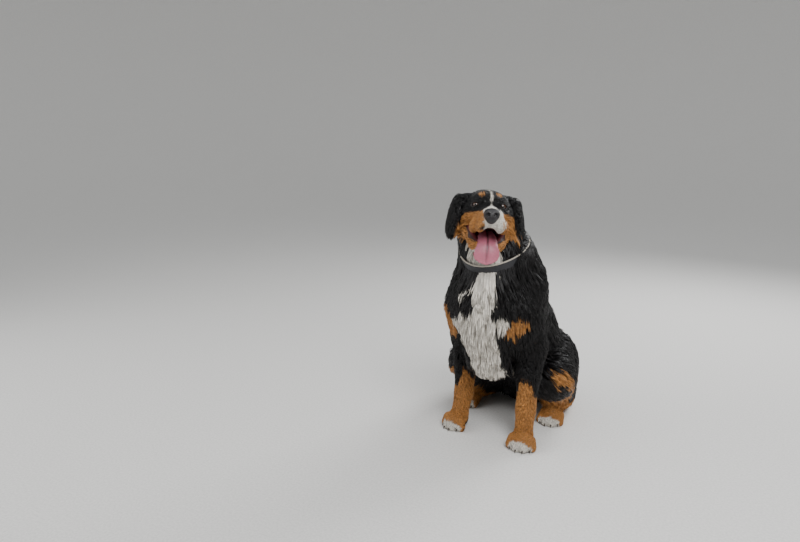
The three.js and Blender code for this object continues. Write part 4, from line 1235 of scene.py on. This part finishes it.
class DOG_OT_claws(bpy.types.Operator):
    """Make the claws of all four feet"""

    bl_idname = "dog.claws"
    bl_label = "Claws"

    def execute(self, context):
        horn = shader("Claw", (0.045, 0.032, 0.024), 0.35, bump=("ShaderNodeTexNoise", 700, 0.3))
        spikes("claws", claw_shapes(), horn)
        return {"FINISHED"}


class DOG_OT_collar(bpy.types.Operator):
    """Make the collar's band and its two pale trims"""

    bl_idname = "dog.collar"
    bl_label = "Collar"

    def execute(self, context):
        leather = shader("CollarLeather", (0.014, 0.014, 0.018), 0.42, bump=("ShaderNodeTexVoronoi", 900, 0.35))
        piping = shader("CollarPiping", (0.55, 0.50, 0.42), 0.7, bump=("ShaderNodeTexWave", 700, 0.6))
        band = collar_hoop("collar_band", rounded_band(COLLAR_WIDTH, COLLAR_THICK, 1.6), leather)
        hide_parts("collar")
        rise = COLLAR_WIDTH / 2 + TRIM_RADIUS + GAP
        for name, height in (("upper", rise), ("lower", -rise)):
            turns = circle(10)
            ring = [(TRIM_RADIUS * math.cos(t) + 1.4, TRIM_RADIUS * math.sin(t) + height) for t in turns]
            trim = collar_hoop("piping_" + name, ring, piping)
            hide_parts("collar_trim_" + name)
        return {"FINISHED"}


# The camera stands round the anchor, a spot on the floor in metres, and sees it right of the middle
CAMERA_YAW = 22
CAMERA_PITCH = 11
FOCAL_PIXELS = 622
ANCHOR = (0.0, -0.11, 0)
ANCHOR_PIXEL = 96

# Floor and backdrop: distance from the dog and height, in metres
FLOOR = ((0, 0), (3, 0), (6, 0), (8.5, 0.12), (10.5, 0.6), (12, 1.6), (13, 3.2), (13.3, 6), (13.4, 11))


class DOG_OT_stage(bpy.types.Operator):
    """Lay the pale floor, hang the lights and set the camera of the photograph"""

    bl_idname = "dog.stage"
    bl_label = "Stage"

    def execute(self, context):
        settings = context.scene.dog_stage
        shift = Vector(SHIFT / 1000)
        turn = circle(96)[None]
        out, up = (smooth_rows(FLOOR, 48)[:, i, None] * 1000 for i in (0, 1))
        rings = np.stack((out * np.cos(turn), out * np.sin(turn), np.maximum(up, 0) + 0 * turn), -1) - SHIFT
        floor = tube("floor", rings, shader("Floor", (0.74, 0.73, 0.71), 0.85), closed=False)
        world = bpy.data.worlds.new("Studio")
        context.scene.world = world
        world.use_nodes = True
        preset(world.node_tree.nodes["Background"], Color=(0.86, 0.88, 0.9, 1), Strength=0.75)
        self.lamp("key", (1.6, -2.0, 2.9), 90, 1.6)
        self.lamp("fill", (-2.4, -1.8, 1.6), 28, 2.2)
        self.lamp("rim", (0.8, 2.4, 2.3), 70, 1.4)
        yaw = math.radians(CAMERA_YAW)
        place = Vector(ANCHOR) + Vector((math.sin(yaw), -math.cos(yaw), 0)) * settings.distance
        place.z = settings.height
        pitch = math.radians(CAMERA_PITCH)
        heading = yaw + math.atan(ANCHOR_PIXEL / FOCAL_PIXELS * math.cos(pitch))
        camera = bpy.data.objects.new("camera", bpy.data.cameras.new("camera"))
        camera.data.lens = settings.lens
        camera.data.sensor_width = 36
        camera.location = place + shift
        camera.rotation_euler = (math.pi / 2 - pitch, 0, heading)
        context.scene.collection.objects.link(camera)
        context.scene.camera = camera
        return {"FINISHED"}

    def lamp(self, name, place, power, size):
        lamp = bpy.data.objects.new(name, bpy.data.lights.new(name, "AREA"))
        lamp.data.energy = power
        lamp.data.size = size
        lamp.location = place
        lamp.rotation_euler = (Vector((0, 0, 0.4)) - lamp.location).to_track_quat("-Z", "Y").to_euler()
        bpy.context.scene.collection.objects.link(lamp)


class DOG_PT_panel(bpy.types.Panel):
    """The dog's pieces and their settings"""

    bl_label = "Seated dog"
    bl_space_type = "VIEW_3D"
    bl_region_type = "UI"
    bl_category = "Dog"

    def draw(self, context):
        scene = context.scene
        for group in (scene.dog_skin, scene.dog_coat, scene.dog_stage):
            box = self.layout.box()
            for key in group.__annotations__:
                box.prop(group, key)
        for operator in OPERATORS:
            self.layout.operator(operator.bl_idname)


OPERATORS = (DOG_OT_skin, DOG_OT_coat, DOG_OT_eyes, DOG_OT_mouth, DOG_OT_claws, DOG_OT_collar, DOG_OT_stage)
SETTINGS = {"dog_skin": DogSkinSettings, "dog_coat": DogCoatSettings, "dog_stage": DogStageSettings}


def register():
    for cls in (*SETTINGS.values(), *OPERATORS, DOG_PT_panel):
        bpy.utils.register_class(cls)
    for name, group in SETTINGS.items():
        setattr(bpy.types.Scene, name, PointerProperty(type=group))


def unregister():
    for name in SETTINGS:
        delattr(bpy.types.Scene, name)
    for cls in (DOG_PT_panel, *reversed(OPERATORS), *SETTINGS.values()):
        bpy.utils.unregister_class(cls)


def main():
    register()
    bpy.ops.dog.skin()
    bpy.ops.dog.coat()
    bpy.ops.dog.eyes()
    bpy.ops.dog.mouth()
    bpy.ops.dog.claws()
    bpy.ops.dog.collar()
    bpy.ops.dog.stage()


if __name__ == "__main__":
    main()
